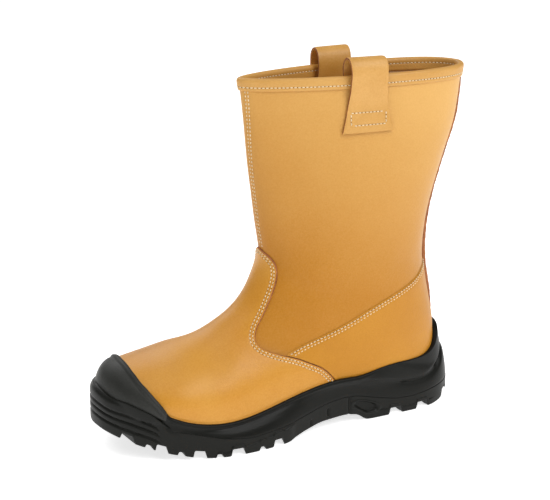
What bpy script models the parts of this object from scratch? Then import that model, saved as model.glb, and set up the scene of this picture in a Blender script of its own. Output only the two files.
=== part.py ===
"""A tan leather pull-on rigger boot for the left foot, standing empty on its moulded black sole.

Lengths in the tables are millimetres. Along runs from the back of the heel towards the toe, across runs towards
the wearer's left, which is the outer (lateral) side of this boot, and up runs from the floor. The boot's own
origin is on the floor under the middle of the heel.
"""
import math
from collections import namedtuple

import bmesh
import bpy
import numpy as np
from mathutils import Vector
from mathutils.bvhtree import BVHTree

for old in list(bpy.data.objects):
    bpy.data.objects.remove(old, do_unlink=True)

MM = 0.001
HEEL_MIDDLE = 45.0

# Thicknesses of the leathers and of the moulded rubber, and the gap left between neighbours.
GAP = 0.3
WALL = 2.2
VAMP_LEATHER = 1.8
COUNTER_LEATHER = 1.0
BINDING_LEATHER = 1.2
STRAP_LEATHER = 2.0
WELT_WIDTH = 4.2
WELT_HEIGHT = 2.6
WELT_LIFT = 0.5
INSOLE = 4.5
INSOLE_INSET = 1.2
CAP_RUBBER = 2.2
CUP_RUBBER = 2.8
FIN_RUBBER = 1.6
LIP_RUBBER = 1.7
BUMPER_RUBBER = 2.4
GROOVE_DEPTH = 5.5

# Sections of the leather wall's outer face, from the collar down to the heel. Each runs from the front of the leg
# to the back seam; widest is where along it the half-widths are reached, crown and tail are its end roundness.
LegRow = namedtuple("LegRow", "front_along front_up back_along back_up lateral medial widest crown tail")
LEG = [
    LegRow(183.2, 278.5, -8.4, 278.5, 31.5, 31.5, 0.62, 0.35, 0.82),
    LegRow(181.0, 262.0, -6.4, 260.0, 32.6, 32.6, 0.60, 0.38, 0.76),
    LegRow(178.6, 240.0, -3.6, 237.0, 34.2, 34.2, 0.55, 0.44, 0.67),
    LegRow(176.0, 214.0, 3.0, 216.0, 36.5, 36.5, 0.53, 0.48, 0.64),
    LegRow(172.4, 188.0, 11.8, 190.0, 38.5, 38.5, 0.51, 0.52, 0.62),
    LegRow(169.2, 165.0, 19.0, 165.0, 39.5, 39.0, 0.50, 0.55, 0.60),
    LegRow(166.2, 147.0, 22.8, 142.0, 40.0, 39.5, 0.50, 0.56, 0.60),
    LegRow(165.6, 135.0, 23.4, 122.0, 40.5, 40.0, 0.50, 0.56, 0.60),
    LegRow(169.8, 122.5, 21.0, 103.0, 41.0, 40.0, 0.50, 0.56, 0.60),
    LegRow(175.0, 112.2, 16.6, 84.0, 41.4, 39.8, 0.50, 0.55, 0.60),
    LegRow(181.3, 103.4, 11.5, 62.0, 41.2, 39.6, 0.50, 0.55, 0.62),
    LegRow(189.0, 95.8, 8.6, 42.0, 41.0, 39.4, 0.50, 0.55, 0.64),
    LegRow(197.5, 89.4, 8.0, 25.0, 40.8, 39.2, 0.50, 0.55, 0.66),
]

# Sections of the foot, from the heel to the toe. Each runs from the ridge of the vamp to the bottom edge of the
# leather; the last one is the edge around the toe itself.
FootRow = namedtuple("FootRow", "ridge_along ridge_up ridge_across edge_along lateral medial widest crown tail")
FOOT = [
    FootRow(205.0, 85.0, -0.5, 30.0, 40.8, 39.0, 0.52, 0.54, 0.55),
    FootRow(213.0, 81.4, -1.0, 70.0, 41.2, 38.8, 0.53, 0.54, 0.50),
    FootRow(221.5, 78.4, -1.5, 112.0, 42.0, 39.0, 0.54, 0.54, 0.45),
    FootRow(231.0, 75.4, -2.0, 155.0, 44.6, 41.6, 0.56, 0.55, 0.45),
    FootRow(241.5, 72.6, -2.5, 190.0, 47.4, 45.4, 0.58, 0.57, 0.50),
    FootRow(252.5, 69.5, -3.0, 215.0, 48.2, 47.4, 0.60, 0.60, 0.55),
    FootRow(264.5, 67.2, -3.0, 233.0, 46.8, 48.2, 0.63, 0.61, 0.60),
    FootRow(275.5, 65.8, -3.2, 243.5, 44.2, 46.4, 0.66, 0.60, 0.60),
    FootRow(284.5, 64.6, -3.4, 249.5, 41.8, 44.6, 0.70, 0.57, 0.60),
    FootRow(291.8, 61.8, -3.5, 253.2, 39.8, 43.0, 0.74, 0.53, 0.60),
    FootRow(296.2, 56.0, -3.6, 255.9, 38.2, 41.6, 0.78, 0.49, 0.60),
    FootRow(298.2, 48.5, -3.7, 257.6, 36.8, 40.4, 0.82, 0.44, 0.60),
    FootRow(299.0, 40.0, -3.8, 258.8, 35.6, 39.4, 0.86, 0.40, 0.60),
    FootRow(299.2, 31.0, -3.8, 259.6, 34.6, 38.6, 0.90, 0.37, 0.60),
]

# Bottom edge of the leather: half-widths and height, hidden inside the sole.
EdgeRow = namedtuple("EdgeRow", "along lateral medial")
LEATHER_EDGE = [
    EdgeRow(8.0, 0.0, 0.0),
    EdgeRow(12.0, 13.5, 13.5),
    EdgeRow(18.0, 20.5, 20.5),
    EdgeRow(30.0, 28.5, 28.5),
    EdgeRow(45.0, 32.0, 32.0),
    EdgeRow(62.0, 33.0, 32.0),
    EdgeRow(88.0, 32.5, 29.5),
    EdgeRow(112.0, 33.0, 27.5),
    EdgeRow(140.0, 35.0, 28.5),
    EdgeRow(165.0, 38.8, 33.2),
    EdgeRow(190.0, 42.2, 38.6),
    EdgeRow(212.0, 42.8, 41.4),
    EdgeRow(235.0, 40.2, 41.6),
    EdgeRow(260.0, 32.8, 36.8),
]
HeightRow = namedtuple("HeightRow", "along up")
LEATHER_BOTTOM = [
    HeightRow(8.0, 25.0),
    HeightRow(60.0, 24.5),
    HeightRow(100.0, 24.0),
    HeightRow(130.0, 22.0),
    HeightRow(160.0, 18.5),
    HeightRow(190.0, 15.8),
    HeightRow(215.0, 15.2),
    HeightRow(240.0, 17.5),
    HeightRow(258.0, 21.0),
    HeightRow(280.0, 26.0),
    HeightRow(299.0, 30.5),
]

# Outline of the sole seen from above, from the back of the heel along the lateral side to the toe tip and back.
OutlineRow = namedtuple("OutlineRow", "along across")
SOLE_LATERAL = [
    OutlineRow(0.0, 14.5),
    OutlineRow(6.5, 25.0),
    OutlineRow(17.5, 33.5),
    OutlineRow(38.0, 39.6),
    OutlineRow(60.0, 40.8),
    OutlineRow(85.0, 41.2),
    OutlineRow(110.0, 42.4),
    OutlineRow(140.0, 46.4),
    OutlineRow(165.0, 52.4),
    OutlineRow(190.0, 56.2),
    OutlineRow(215.0, 56.0),
    OutlineRow(240.0, 51.6),
    OutlineRow(260.0, 45.6),
    OutlineRow(278.0, 37.2),
    OutlineRow(292.0, 26.5),
    OutlineRow(302.3, 12.5),
]
SOLE_MEDIAL = [
    OutlineRow(0.0, -14.5),
    OutlineRow(6.5, -25.0),
    OutlineRow(17.5, -33.5),
    OutlineRow(38.0, -39.6),
    OutlineRow(60.0, -40.6),
    OutlineRow(85.0, -41.2),
    OutlineRow(110.0, -41.8),
    OutlineRow(140.0, -43.6),
    OutlineRow(165.0, -46.6),
    OutlineRow(190.0, -50.0),
    OutlineRow(215.0, -52.5),
    OutlineRow(240.0, -52.3),
    OutlineRow(260.0, -48.8),
    OutlineRow(278.0, -42.4),
    OutlineRow(292.5, -32.4),
    OutlineRow(302.8, -19.8),
]
HEEL_BACK = OutlineRow(-3.5, 0.0)
TOE_TIP = OutlineRow(307.3, -4.0)

# Heights around the sole, read from the side.
LUG_TIPS = [
    HeightRow(-3.5, 9.0),
    HeightRow(3.0, 6.0),
    HeightRow(9.0, 3.2),
    HeightRow(16.0, 1.0),
    HeightRow(22.0, 0.0),
    HeightRow(91.0, 0.0),
    HeightRow(98.0, 6.0),
    HeightRow(110.0, 8.4),
    HeightRow(135.0, 7.6),
    HeightRow(152.0, 4.2),
    HeightRow(166.0, 0.0),
    HeightRow(230.0, 0.0),
    HeightRow(245.0, 2.2),
    HeightRow(262.0, 6.3),
    HeightRow(276.0, 10.8),
    HeightRow(290.0, 15.6),
    HeightRow(307.3, 22.5),
]
PARTING = [
    HeightRow(-3.5, 17.5),
    HeightRow(20.0, 15.5),
    HeightRow(46.0, 13.0),
    HeightRow(63.0, 13.5),
    HeightRow(82.0, 18.0),
    HeightRow(99.0, 22.8),
    HeightRow(112.0, 24.0),
    HeightRow(128.0, 22.5),
    HeightRow(165.0, 15.0),
    HeightRow(199.0, 12.3),
    HeightRow(220.0, 15.0),
    HeightRow(238.0, 20.0),
    HeightRow(254.0, 24.0),
    HeightRow(275.0, 27.0),
    HeightRow(307.3, 31.0),
]
RAND_LINE = [
    HeightRow(-3.5, 43.0),
    HeightRow(4.0, 39.0),
    HeightRow(12.0, 32.5),
    HeightRow(24.0, 27.0),
    HeightRow(38.0, 25.0),
    HeightRow(57.0, 27.0),
    HeightRow(76.0, 32.5),
    HeightRow(96.0, 36.0),
    HeightRow(113.0, 36.6),
    HeightRow(134.0, 34.8),
    HeightRow(163.0, 28.6),
    HeightRow(188.0, 23.6),
    HeightRow(216.0, 21.2),
    HeightRow(238.0, 24.0),
    HeightRow(251.0, 28.0),
    HeightRow(262.0, 32.5),
    HeightRow(280.0, 36.0),
    HeightRow(307.3, 40.0),
]
LIP = [
    HeightRow(-3.5, 61.5),
    HeightRow(2.0, 58.0),
    HeightRow(9.0, 51.0),
    HeightRow(20.0, 45.0),
    HeightRow(37.0, 42.8),
    HeightRow(58.0, 43.6),
    HeightRow(77.0, 43.0),
    HeightRow(98.0, 39.8),
    HeightRow(113.0, 40.2),
    HeightRow(134.0, 38.4),
    HeightRow(163.0, 32.2),
    HeightRow(188.0, 27.2),
    HeightRow(216.0, 24.8),
    HeightRow(238.0, 27.6),
    HeightRow(251.0, 31.6),
    HeightRow(262.0, 36.5),
    HeightRow(307.3, 36.5),
]
BUMPER_TOP = [
    HeightRow(255.0, 25.5),
    HeightRow(262.0, 29.0),
    HeightRow(269.0, 37.0),
    HeightRow(277.0, 43.5),
    HeightRow(287.0, 48.0),
    HeightRow(297.0, 52.0),
    HeightRow(307.3, 56.5),
]
EDGE_CLEAR = 0.4
CORE_DROP = 6.5
CORE_INSET = 4.0

# Where the sole's features start and over how long a way they come in.
BUMPER_FROM = 252.0
BUMPER_RAMP = 14.0
BUMPER_START = 256.0
BUMPER_FOOT = 3.5
BUMPER_CLEAR = 0.4
BUMPER_TUCK = 0.8
BUMPER_RIBS = (0.6, 1.0, 0.72, 1.0, 0.72, 1.0, 0.72, 0.9, 0.55)
CUP_END = 100.0
CUP_RAMP = 20.0
FIN_END = 14.0
FIN_TUCK = 2.2
CAP_RAMP = 6.0
LIP_TURN = 4.0

# Stations along the sole where its sides and its underside are cut into columns.
STATIONS = [
    -2.6, 0.0, 4.5, 11.0, 20.0, 31.0, 44.0, 58.0, 72.0, 83.0, 91.0, 98.0, 110.0, 124.0, 138.0, 152.0, 166.0,
    180.0, 194.0, 208.0, 220.0, 231.0, 241.0, 250.0, 257.0, 263.0, 270.0, 277.5, 285.0, 292.0, 298.0, 302.6,
    305.8,
]

# The scuff cap's rear edge: angle up from its two ends, and where along the boot it stands.
CapRow = namedtuple("CapRow", "degrees along")
CAP_EDGE = [
    CapRow(0.0, 262.0),
    CapRow(7.0, 264.5),
    CapRow(21.0, 271.5),
    CapRow(38.0, 277.5),
    CapRow(57.0, 280.0),
    CapRow(90.0, 281.0),
]
CAP_FOOT = 262.0
CAP_CENTRE_ACROSS = -3.0
CAP_CENTRE_UP = 36.5

# The vamp's cut edge and the counter's seam, the same on both sides, as they show from the side.
VAMP_EDGE = [
    HeightRow(168.5, 146.0),
    HeightRow(166.6, 144.8),
    HeightRow(162.2, 139.6),
    HeightRow(160.2, 136.2),
    HeightRow(159.4, 131.6),
    HeightRow(160.1, 124.8),
    HeightRow(162.6, 116.7),
    HeightRow(166.1, 108.6),
    HeightRow(170.6, 99.9),
    HeightRow(175.4, 92.4),
    HeightRow(179.0, 86.9),
    HeightRow(181.2, 82.1),
    HeightRow(182.0, 78.4),
    HeightRow(181.4, 75.4),
    HeightRow(178.6, 72.6),
    HeightRow(174.0, 70.2),
    HeightRow(167.7, 67.8),
    HeightRow(159.6, 65.2),
    HeightRow(151.0, 62.2),
    HeightRow(142.2, 58.0),
    HeightRow(134.5, 54.2),
    HeightRow(128.5, 49.8),
    HeightRow(124.4, 45.4),
    HeightRow(121.3, 41.5),
    HeightRow(117.5, 34.0),
    HeightRow(114.0, 24.0),
]
COUNTER_SEAM = [
    HeightRow(17.0, 119.5),
    HeightRow(24.0, 117.2),
    HeightRow(31.0, 114.6),
    HeightRow(40.5, 111.0),
    HeightRow(53.7, 107.0),
    HeightRow(75.5, 100.6),
    HeightRow(94.5, 93.4),
    HeightRow(112.0, 85.6),
    HeightRow(137.5, 75.8),
    HeightRow(160.0, 66.8),
]
VAMP_AHEAD = 340.0
FORM_BELOW = -20.0
FORM_REACH = 90.0
WELT_CLEAR = 2.6
COUNTER_FOOT = 29.0

# Tread grooves: from and to along the outer edge at the lug tips, and how far their inner ends lie forward.
GROOVE_SLOPE = 1.6
GROOVE_BELOW = 4.0
GROOVE_REACH = 75.0
GrooveRow = namedtuple("GrooveRow", "start stop inner forward")
GROOVES = [
    GrooveRow(4.0, 14.0, 13.0, 3.0),
    GrooveRow(31.0, 43.0, 13.0, 3.0),
    GrooveRow(57.0, 69.0, 13.0, 3.0),
    GrooveRow(171.0, 180.0, 13.0, 8.0),
    GrooveRow(205.0, 216.0, 13.0, 8.0),
    GrooveRow(235.0, 245.0, 13.0, 8.0),
    GrooveRow(263.0, 272.0, 12.0, 6.0),
    GrooveRow(286.0, 293.0, 9.0, 4.0),
]
SPINE_SLOTS = [196.0, 222.0, 248.0]
SPINE_SLOT_WIDTH = 5.0
SPINE_SLOT_HALF = 9.0

# The pull straps: how far the strap's near face stands off the leg's outer face, its height and half-width.
StrapRow = namedtuple("StrapRow", "stand_off up half_width")
STRAP = [
    StrapRow(0.6, 237.0, 21.5),
    StrapRow(0.6, 243.0, 19.8),
    StrapRow(0.6, 250.0, 18.0),
    StrapRow(0.7, 256.0, 16.8),
    StrapRow(1.4, 261.5, 15.9),
    StrapRow(3.0, 268.0, 15.2),
    StrapRow(4.4, 275.0, 14.9),
    StrapRow(5.0, 282.0, 14.7),
    StrapRow(3.8, 287.8, 14.9),
    StrapRow(0.8, 291.2, 14.9),
    StrapRow(-2.8, 291.6, 14.9),
    StrapRow(-5.8, 289.2, 14.9),
    StrapRow(-7.4, 284.4, 14.9),
    StrapRow(-7.2, 278.0, 14.5),
    StrapRow(-6.2, 271.0, 14.5),
    StrapRow(-4.6, 264.5, 14.5),
    StrapRow(-3.4, 258.0, 14.5),
    StrapRow(-3.3, 250.0, 14.5),
]
STRAP_ALONG = 91.0
COLLAR_UP = 278.5
BINDING_DOWN = 8.5
BINDING_RISE = 1.5
WELT_TOP_UP = 266.0
WELT_FOOT_UP = 64.5

# Linear colours of the leather and the rubber.
TAN = (0.66, 0.35, 0.11, 1.0)
TAN_LIGHT = (0.72, 0.40, 0.15, 1.0)
RAW_EDGE = (0.30, 0.13, 0.06, 1.0)
BLACK = (0.020, 0.021, 0.018, 1.0)
CAP_GREY = (0.045, 0.046, 0.042, 1.0)
BOARD = (0.32, 0.20, 0.10, 1.0)


def spline(knots, values, at):
    """The natural cubic spline through a table: a row of values for each knot, read at any places."""
    knots = np.asarray(knots, float)
    values = np.asarray(values, float)
    if values.ndim == 1:
        return spline(knots, values[:, None], at)[..., 0]
    count = len(knots)
    step = np.diff(knots)[:, None]
    slope = np.diff(values, axis=0) / step
    system = np.eye(count)
    right = np.zeros_like(values)
    for i in range(1, count - 1):
        system[i, i - 1] = step[i - 1, 0]
        system[i, i] = 2.0 * (step[i - 1, 0] + step[i, 0])
        system[i, i + 1] = step[i, 0]
        right[i] = 6.0 * (slope[i] - slope[i - 1])
    bend = np.linalg.solve(system, right)
    at = np.asarray(at, float)
    i = np.clip(np.searchsorted(knots, at, side="right") - 1, 0, count - 2)
    d = (at - knots[i])[..., None]
    h = step[i]
    tangent = slope[i] - h * (2.0 * bend[i] + bend[i + 1]) / 6.0
    return values[i] + d * (tangent + d * (bend[i] / 2.0 + d * (bend[i + 1] - bend[i]) / (6.0 * h)))


def height(rows, along):
    """A height table read at a place along the boot, by straight lines rounded over a short way."""
    knots = [row.along for row in rows]
    ups = [row.up for row in rows]
    spread = (-3.0, -1.5, 0.0, 1.5, 3.0)
    return sum(np.interp(np.asarray(along) + d, knots, ups) for d in spread) / len(spread)


def smooth_height(rows, along):
    return spline([row.along for row in rows], [row.up for row in rows], along)


def bezier(a, b, c, d, q):
    p = 1.0 - q
    return p**3 * a + 3.0 * p * p * q * b + 3.0 * p * q * q * c + q**3 * d


# The sections as one table with a knot for each, spaced by how far apart neighbouring sections lie.
ROWS = np.array(
    [[r.front_along, r.front_up, 0.0, r.back_along, r.back_up, *r[4:]] for r in LEG]
    + [
        [r.ridge_along, r.ridge_up, r.ridge_across, r.edge_along, 0.0, *r[4:]]
        for r in FOOT
    ]
)
HEEL_ROW = len(LEG) - 1
ROWS[HEEL_ROW + 1 :, 4] = smooth_height(LEATHER_BOTTOM, ROWS[HEEL_ROW + 1 :, 3])
FRONT_STEP = np.hypot(np.diff(ROWS[:, 0]), np.diff(ROWS[:, 1]))
END_STEP = np.hypot(np.diff(ROWS[:, 3]), np.diff(ROWS[:, 4]))
KNOTS = np.concatenate([[0.0], np.cumsum(FRONT_STEP + END_STEP)])
KNOTS = KNOTS / KNOTS[-1]
HEEL_KNOT = KNOTS[HEEL_ROW]
ROUND = 0.55


def edge_half_width(along, lateral):
    """Half-width of the leather's bottom edge; the heel's arc is taken by its square so that it stays round."""
    knots = np.array([row.along for row in LEATHER_EDGE])
    widths = np.array([row.lateral if lateral else row.medial for row in LEATHER_EDGE])
    arc = np.clip(np.asarray(along, float) - knots[0], 0.0, None)
    return spline(np.sqrt(knots - knots[0]), widths, np.sqrt(arc))


def upper_points(s, t):
    """The leather wall's outer face in millimetres: s from the collar to the toe, t from -1 to 1 around."""
    s, t = np.broadcast_arrays(np.asarray(s, float), np.asarray(t, float))
    row = spline(KNOTS, ROWS, s)
    along, up, across, end_along, end_up, lateral, medial, widest, crown, tail = np.moveaxis(row, -1, 0)
    end_along = np.where(s > HEEL_KNOT, np.maximum(end_along, LEATHER_BOTTOM[0].along), end_along)
    end_up = np.where(s > HEEL_KNOT, smooth_height(LEATHER_BOTTOM, end_along), end_up)
    side = np.where(t < 0.0, -1.0, 1.0)
    width = np.where(t < 0.0, medial, lateral)
    ridge = across * side
    open_edge = np.where(t < 0.0, edge_half_width(end_along, False), edge_half_width(end_along, True))
    edge = np.where(s > HEEL_KNOT, open_edge, 0.0)
    q = np.abs(t)
    first = np.clip(q * 2.0, 0.0, 1.0)
    second = np.clip(q * 2.0 - 1.0, 0.0, 1.0)
    u_first = bezier(0.0, 0.0, widest * (1.0 - ROUND), widest, first)
    v_first = bezier(ridge, ridge + crown * (width - ridge), width, width, first)
    u_second = bezier(widest, widest + (1.0 - widest) * ROUND, 1.0, 1.0, second)
    v_second = bezier(width, width, edge + tail * (width - edge), edge, second)
    u = np.where(q < 0.5, u_first, u_second)
    v = np.where(q < 0.5, v_first, v_second) * side
    return np.stack([along + u * (end_along - along), v, up + u * (end_up - up)], axis=-1)


def upper_normals(s, t):
    """Unit vectors out of the leather wall's outer face."""
    s, t = np.broadcast_arrays(np.asarray(s, float), np.asarray(t, float))
    step = 1e-4
    down = upper_points(np.clip(s + step, 0, 1), t) - upper_points(np.clip(s - step, 0, 1), t)
    around = upper_points(s, np.clip(t + step, -1, 1)) - upper_points(s, np.clip(t - step, -1, 1))
    normal = np.cross(down, around)
    return normal / np.linalg.norm(normal, axis=-1, keepdims=True)


def upper_offset(s, t, distance):
    distance = np.asarray(distance, float)
    return upper_points(s, t) + upper_normals(s, t) * distance[..., None]


def skin(s):
    """How far the overlays stand out over the wall: the counter at the heel, the vamp from the waist on."""
    blend = np.clip((np.asarray(s) - KNOTS[HEEL_ROW + 1]) / (KNOTS[HEEL_ROW + 2] - KNOTS[HEEL_ROW + 1]), 0, 1)
    return GAP + COUNTER_LEATHER + blend * (VAMP_LEATHER - COUNTER_LEATHER)


def close_back(grid, rows):
    """The two ends of each closed section made one point on the back seam."""
    seam = (grid[:rows, 0] + grid[:rows, -1]) / 2.0
    grid[:rows, 0] = seam
    grid[:rows, -1] = seam


def place(points):
    """Table millimetres to metres from the boot's origin."""
    points = np.asarray(points, float)
    return (points - np.array([HEEL_MIDDLE, 0.0, 0.0])) * MM


def material(name, colour, roughness):
    made = bpy.data.materials.new(name)
    made.use_nodes = True
    shader = made.node_tree.nodes["Principled BSDF"]
    shader.inputs["Base Color"].default_value = colour
    shader.inputs["Roughness"].default_value = roughness
    return made


def add_object(name, points, faces, finish=None, cutter=False):
    """One closed mesh object from millimetre points and faces of point numbers."""
    mesh = bpy.data.meshes.new(name)
    mesh.from_pydata(place(points).tolist(), [], [list(face) for face in faces])
    work = bmesh.new()
    work.from_mesh(mesh)
    bmesh.ops.remove_doubles(work, verts=work.verts, dist=1e-6)
    bmesh.ops.dissolve_degenerate(work, edges=work.edges, dist=1e-7)
    bmesh.ops.recalc_face_normals(work, faces=work.faces)
    work.to_mesh(mesh)
    work.free()
    made = bpy.data.objects.new(name, mesh)
    bpy.context.scene.collection.objects.link(made)
    if cutter:
        made.hide_render = True
        made.display_type = "WIRE"
    else:
        mesh.materials.append(finish)
        for polygon in mesh.polygons:
            polygon.use_smooth = True
    return made


def boolean(target, cutter, operation):
    step = target.modifiers.new(cutter.name, "BOOLEAN")
    step.operation = operation
    step.solver = "EXACT"
    step.object = cutter


def grid_faces(rows, columns, first=0, wrap=False):
    """Quads between neighbouring rows of points, each row holding the same number of columns."""
    faces = []
    for i in range(rows - 1):
        for j in range(columns if wrap else columns - 1):
            k = (j + 1) % columns
            a, b = first + i * columns + j, first + i * columns + k
            c, d = first + (i + 1) * columns + k, first + (i + 1) * columns + j
            if wrap or 2 * j < columns - 1:
                faces += [(a, b, c), (a, c, d)]
            else:
                faces += [(a, b, d), (b, c, d)]
    return faces


def shell(outer, inner, open_from=0):
    """Points and faces of a sheet with thickness; its two side edges are closed from one row onwards."""
    rows, columns = outer.shape[:2]
    size = rows * columns
    points = np.concatenate([outer.reshape(-1, 3), inner.reshape(-1, 3)])
    faces = grid_faces(rows, columns) + grid_faces(rows, columns, size)
    for j in range(columns - 1):
        for i in (0, rows - 1):
            a = i * columns + j
            faces.append((a, a + 1, size + a + 1, size + a))
    for i in range(open_from, rows - 1):
        for j in (0, columns - 1):
            a = i * columns + j
            faces.append((a, a + columns, size + a + columns, size + a))
    return points, faces


def ring_stack(rings):
    """Points and faces of a solid from rings around the sole, with its first and last ring closed across."""
    columns = len(rings[0])
    points = np.concatenate(rings)
    faces = grid_faces(len(rings), columns, wrap=True)
    for first in (0, (len(rings) - 1) * columns):
        for j in range(columns // 2):
            a, b = j, j + 1
            c, d = (columns - b) % columns, (columns - a) % columns
            for face in ((a, b, c), (a, c, d)):
                if len(set(face)) == 3:
                    faces.append(tuple(first + k for k in face))
    return points, faces


# The one net of sections and columns that the wall, its overlays and the form inside the sole all share, so that
# their facets run parallel. Columns lie closer together where the wall turns at the front and the back.
LEG_PARTS = [2, 1, 1, 1, 1, 1, 1, 1, 1, 1, 1, 1]
FOOT_PARTS = [2, 2, 2, 2, 1, 1, 1, 1, 1, 1, 1, 1, 1, 1]
WALL_S = [KNOTS[i] + (KNOTS[i + 1] - KNOTS[i]) * k / n for i, n in enumerate(LEG_PARTS + FOOT_PARTS) for k in range(n)]
WALL_S = np.array(WALL_S + [1.0])
HEEL_LINE = sum(LEG_PARTS)
EVEN_T = np.linspace(-1.0, 1.0, 27)
WALL_T = EVEN_T - 0.085 * np.sin(2.0 * math.pi * EVEN_T)


def wall_grid(distance):
    """The net of points at a distance from the wall's outer face, given once or for every section."""
    distance = np.broadcast_to(np.asarray(distance, float), WALL_S.shape)
    grid = upper_offset(WALL_S[:, None], WALL_T[None, :], np.repeat(distance[:, None], len(WALL_T), axis=1))
    close_back(grid, HEEL_LINE + 1)
    return grid


def curve_through(rows, count):
    """A smooth curve through a table of points seen from the side, cut into evenly spaced ones."""
    points = np.array(rows)
    way = np.concatenate([[0.0], np.cumsum(np.linalg.norm(np.diff(points, axis=0), axis=1))])
    return spline(way, points, np.linspace(0.0, way[-1], count))


def side_form(name, polygon, near, far):
    """A cutter with an outline drawn in the side view, reaching from one place across to another."""
    count = len(polygon)
    points = [(x, across, z) for across in (near, far) for x, z in polygon]
    faces = [tuple(range(count)), tuple(range(count, 2 * count))]
    faces += [(k, (k + 1) % count, count + (k + 1) % count, count + k) for k in range(count)]
    return add_object(name, points, faces, cutter=True)


def tree(points):
    """A search tree over a grid of millimetre points."""
    rows, columns = points.shape[:2]
    vertices = [Vector(p) for p in points.reshape(-1, 3)]
    return BVHTree.FromPolygons(vertices, grid_faces(rows, columns))


FINE_S, FINE_T = np.meshgrid(np.linspace(0.0, 1.0, 150), np.linspace(-1.0, 1.0, 121), indexing="ij")
LEG_TREE = tree(upper_points(FINE_S, FINE_T))
SKIN_TREE = tree(upper_offset(FINE_S, FINE_T, skin(FINE_S)))


def hit(search, origin, direction):
    """Where a ray meets a surface, and the unit vector out of it, on the ray's own side or along it."""
    place_hit, normal, _, _ = search.ray_cast(Vector(origin), Vector(direction).normalized())
    return np.array(place_hit), np.array(normal)


TAN_LEATHER = material("tan_leather", TAN, 0.5)
VAMP_TAN = material("vamp_leather", TAN, 0.45)
COUNTER_TAN = material("counter_leather", TAN, 0.5)
BINDING_TAN = material("binding_leather", TAN_LIGHT, 0.5)
STRAP_TAN = material("strap_leather", TAN_LIGHT, 0.5)
WELT_BROWN = material("raw_leather_edge", RAW_EDGE, 0.8)
TREAD_BLACK = material("tread_rubber", BLACK, 0.6)
RAND_BLACK = material("rand_rubber", CAP_GREY, 0.45)
INSOLE_BOARD = material("insole_board", BOARD, 0.9)


def build_upper():
    """The hollow leather wall, open at the collar and underneath."""
    points, faces = shell(wall_grid(0.0), wall_grid(-WALL), open_from=HEEL_LINE)
    add_object("upper", points, faces, TAN_LEATHER)


VAMP_CURVE = curve_through(VAMP_EDGE, 30)


def overlay(name, thickness, first, last, finish):
    """A sheet of leather lying on the wall, from one section to another."""
    outer = wall_grid(GAP + thickness)[first:last]
    inner = wall_grid(GAP)[first:last]
    points, faces = shell(outer, inner, open_from=max(HEEL_LINE - first, 0))
    return add_object(name, points, faces, finish)


def build_vamp():
    """The overlay from its cut edge to the toe."""
    vamp = overlay("vamp", VAMP_LEATHER, HEEL_LINE - 7, len(WALL_S), VAMP_TAN)
    front = [(VAMP_AHEAD, VAMP_EDGE[0].up), (VAMP_AHEAD, FORM_BELOW), (VAMP_EDGE[-1].along - 4.0, FORM_BELOW)]
    polygon = [tuple(row) for row in VAMP_CURVE] + front[::-1]
    boolean(vamp, side_form("vamp_form", polygon, -FORM_REACH, FORM_REACH), "INTERSECT")


def build_counter(name, side):
    """One heel panel, from the slanted seam down to the bottom edge and forward to the vamp's edge."""
    panel = overlay(name, COUNTER_LEATHER, HEEL_LINE - 5, HEEL_LINE + 7, COUNTER_TAN)
    seam = curve_through(COUNTER_SEAM, 12)
    ahead = np.gradient(VAMP_CURVE, axis=0)
    ahead /= np.linalg.norm(ahead, axis=1)[:, None]
    back_off = VAMP_CURVE + 0.5 * np.stack([ahead[:, 1], -ahead[:, 0]], axis=1)
    inside = (back_off[:, 0] < COUNTER_SEAM[-1].along) & (back_off[:, 1] < 68.0) & (back_off[:, 1] > COUNTER_FOOT)
    edge = [tuple(row) for row in back_off[inside]]
    below = [(edge[-1][0] - 1.5, COUNTER_FOOT), (-FORM_REACH, COUNTER_FOOT), (-FORM_REACH, COUNTER_SEAM[0].up + 2.0)]
    polygon = [tuple(row) for row in seam] + edge + below
    boolean(panel, side_form(name + "_form", polygon, side * WELT_CLEAR, side * FORM_REACH), "INTERSECT")


def build_welt():
    """The raised cut-edge seam down the back."""
    line_s = np.linspace(0.0, HEEL_KNOT, 400)
    line_up = upper_points(line_s, np.ones_like(line_s))[:, 2]
    ups = np.linspace(WELT_TOP_UP, WELT_FOOT_UP, 24)
    s = np.interp(-ups, -line_up, line_s)
    middle = upper_points(s, np.ones_like(s))
    out = upper_normals(s, np.ones_like(s))
    half = WELT_WIDTH / 2.0
    profile = [(-half, WELT_LIFT), (-half, 0.7 * WELT_HEIGHT), (-0.5 * half, WELT_HEIGHT), (0.5 * half, WELT_HEIGHT),
               (half, 0.7 * WELT_HEIGHT), (half, WELT_LIFT)]
    grid = np.stack([middle + out * lift + np.array([0.0, across, 0.0]) for across, lift in profile], axis=1)
    faces = grid_faces(len(ups), len(profile), wrap=True)
    faces.append(tuple(range(len(profile))))
    faces.append(tuple((len(ups) - 1) * len(profile) + k for k in range(len(profile))))
    add_object("back_welt", grid.reshape(-1, 3), faces, WELT_BROWN)


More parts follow.
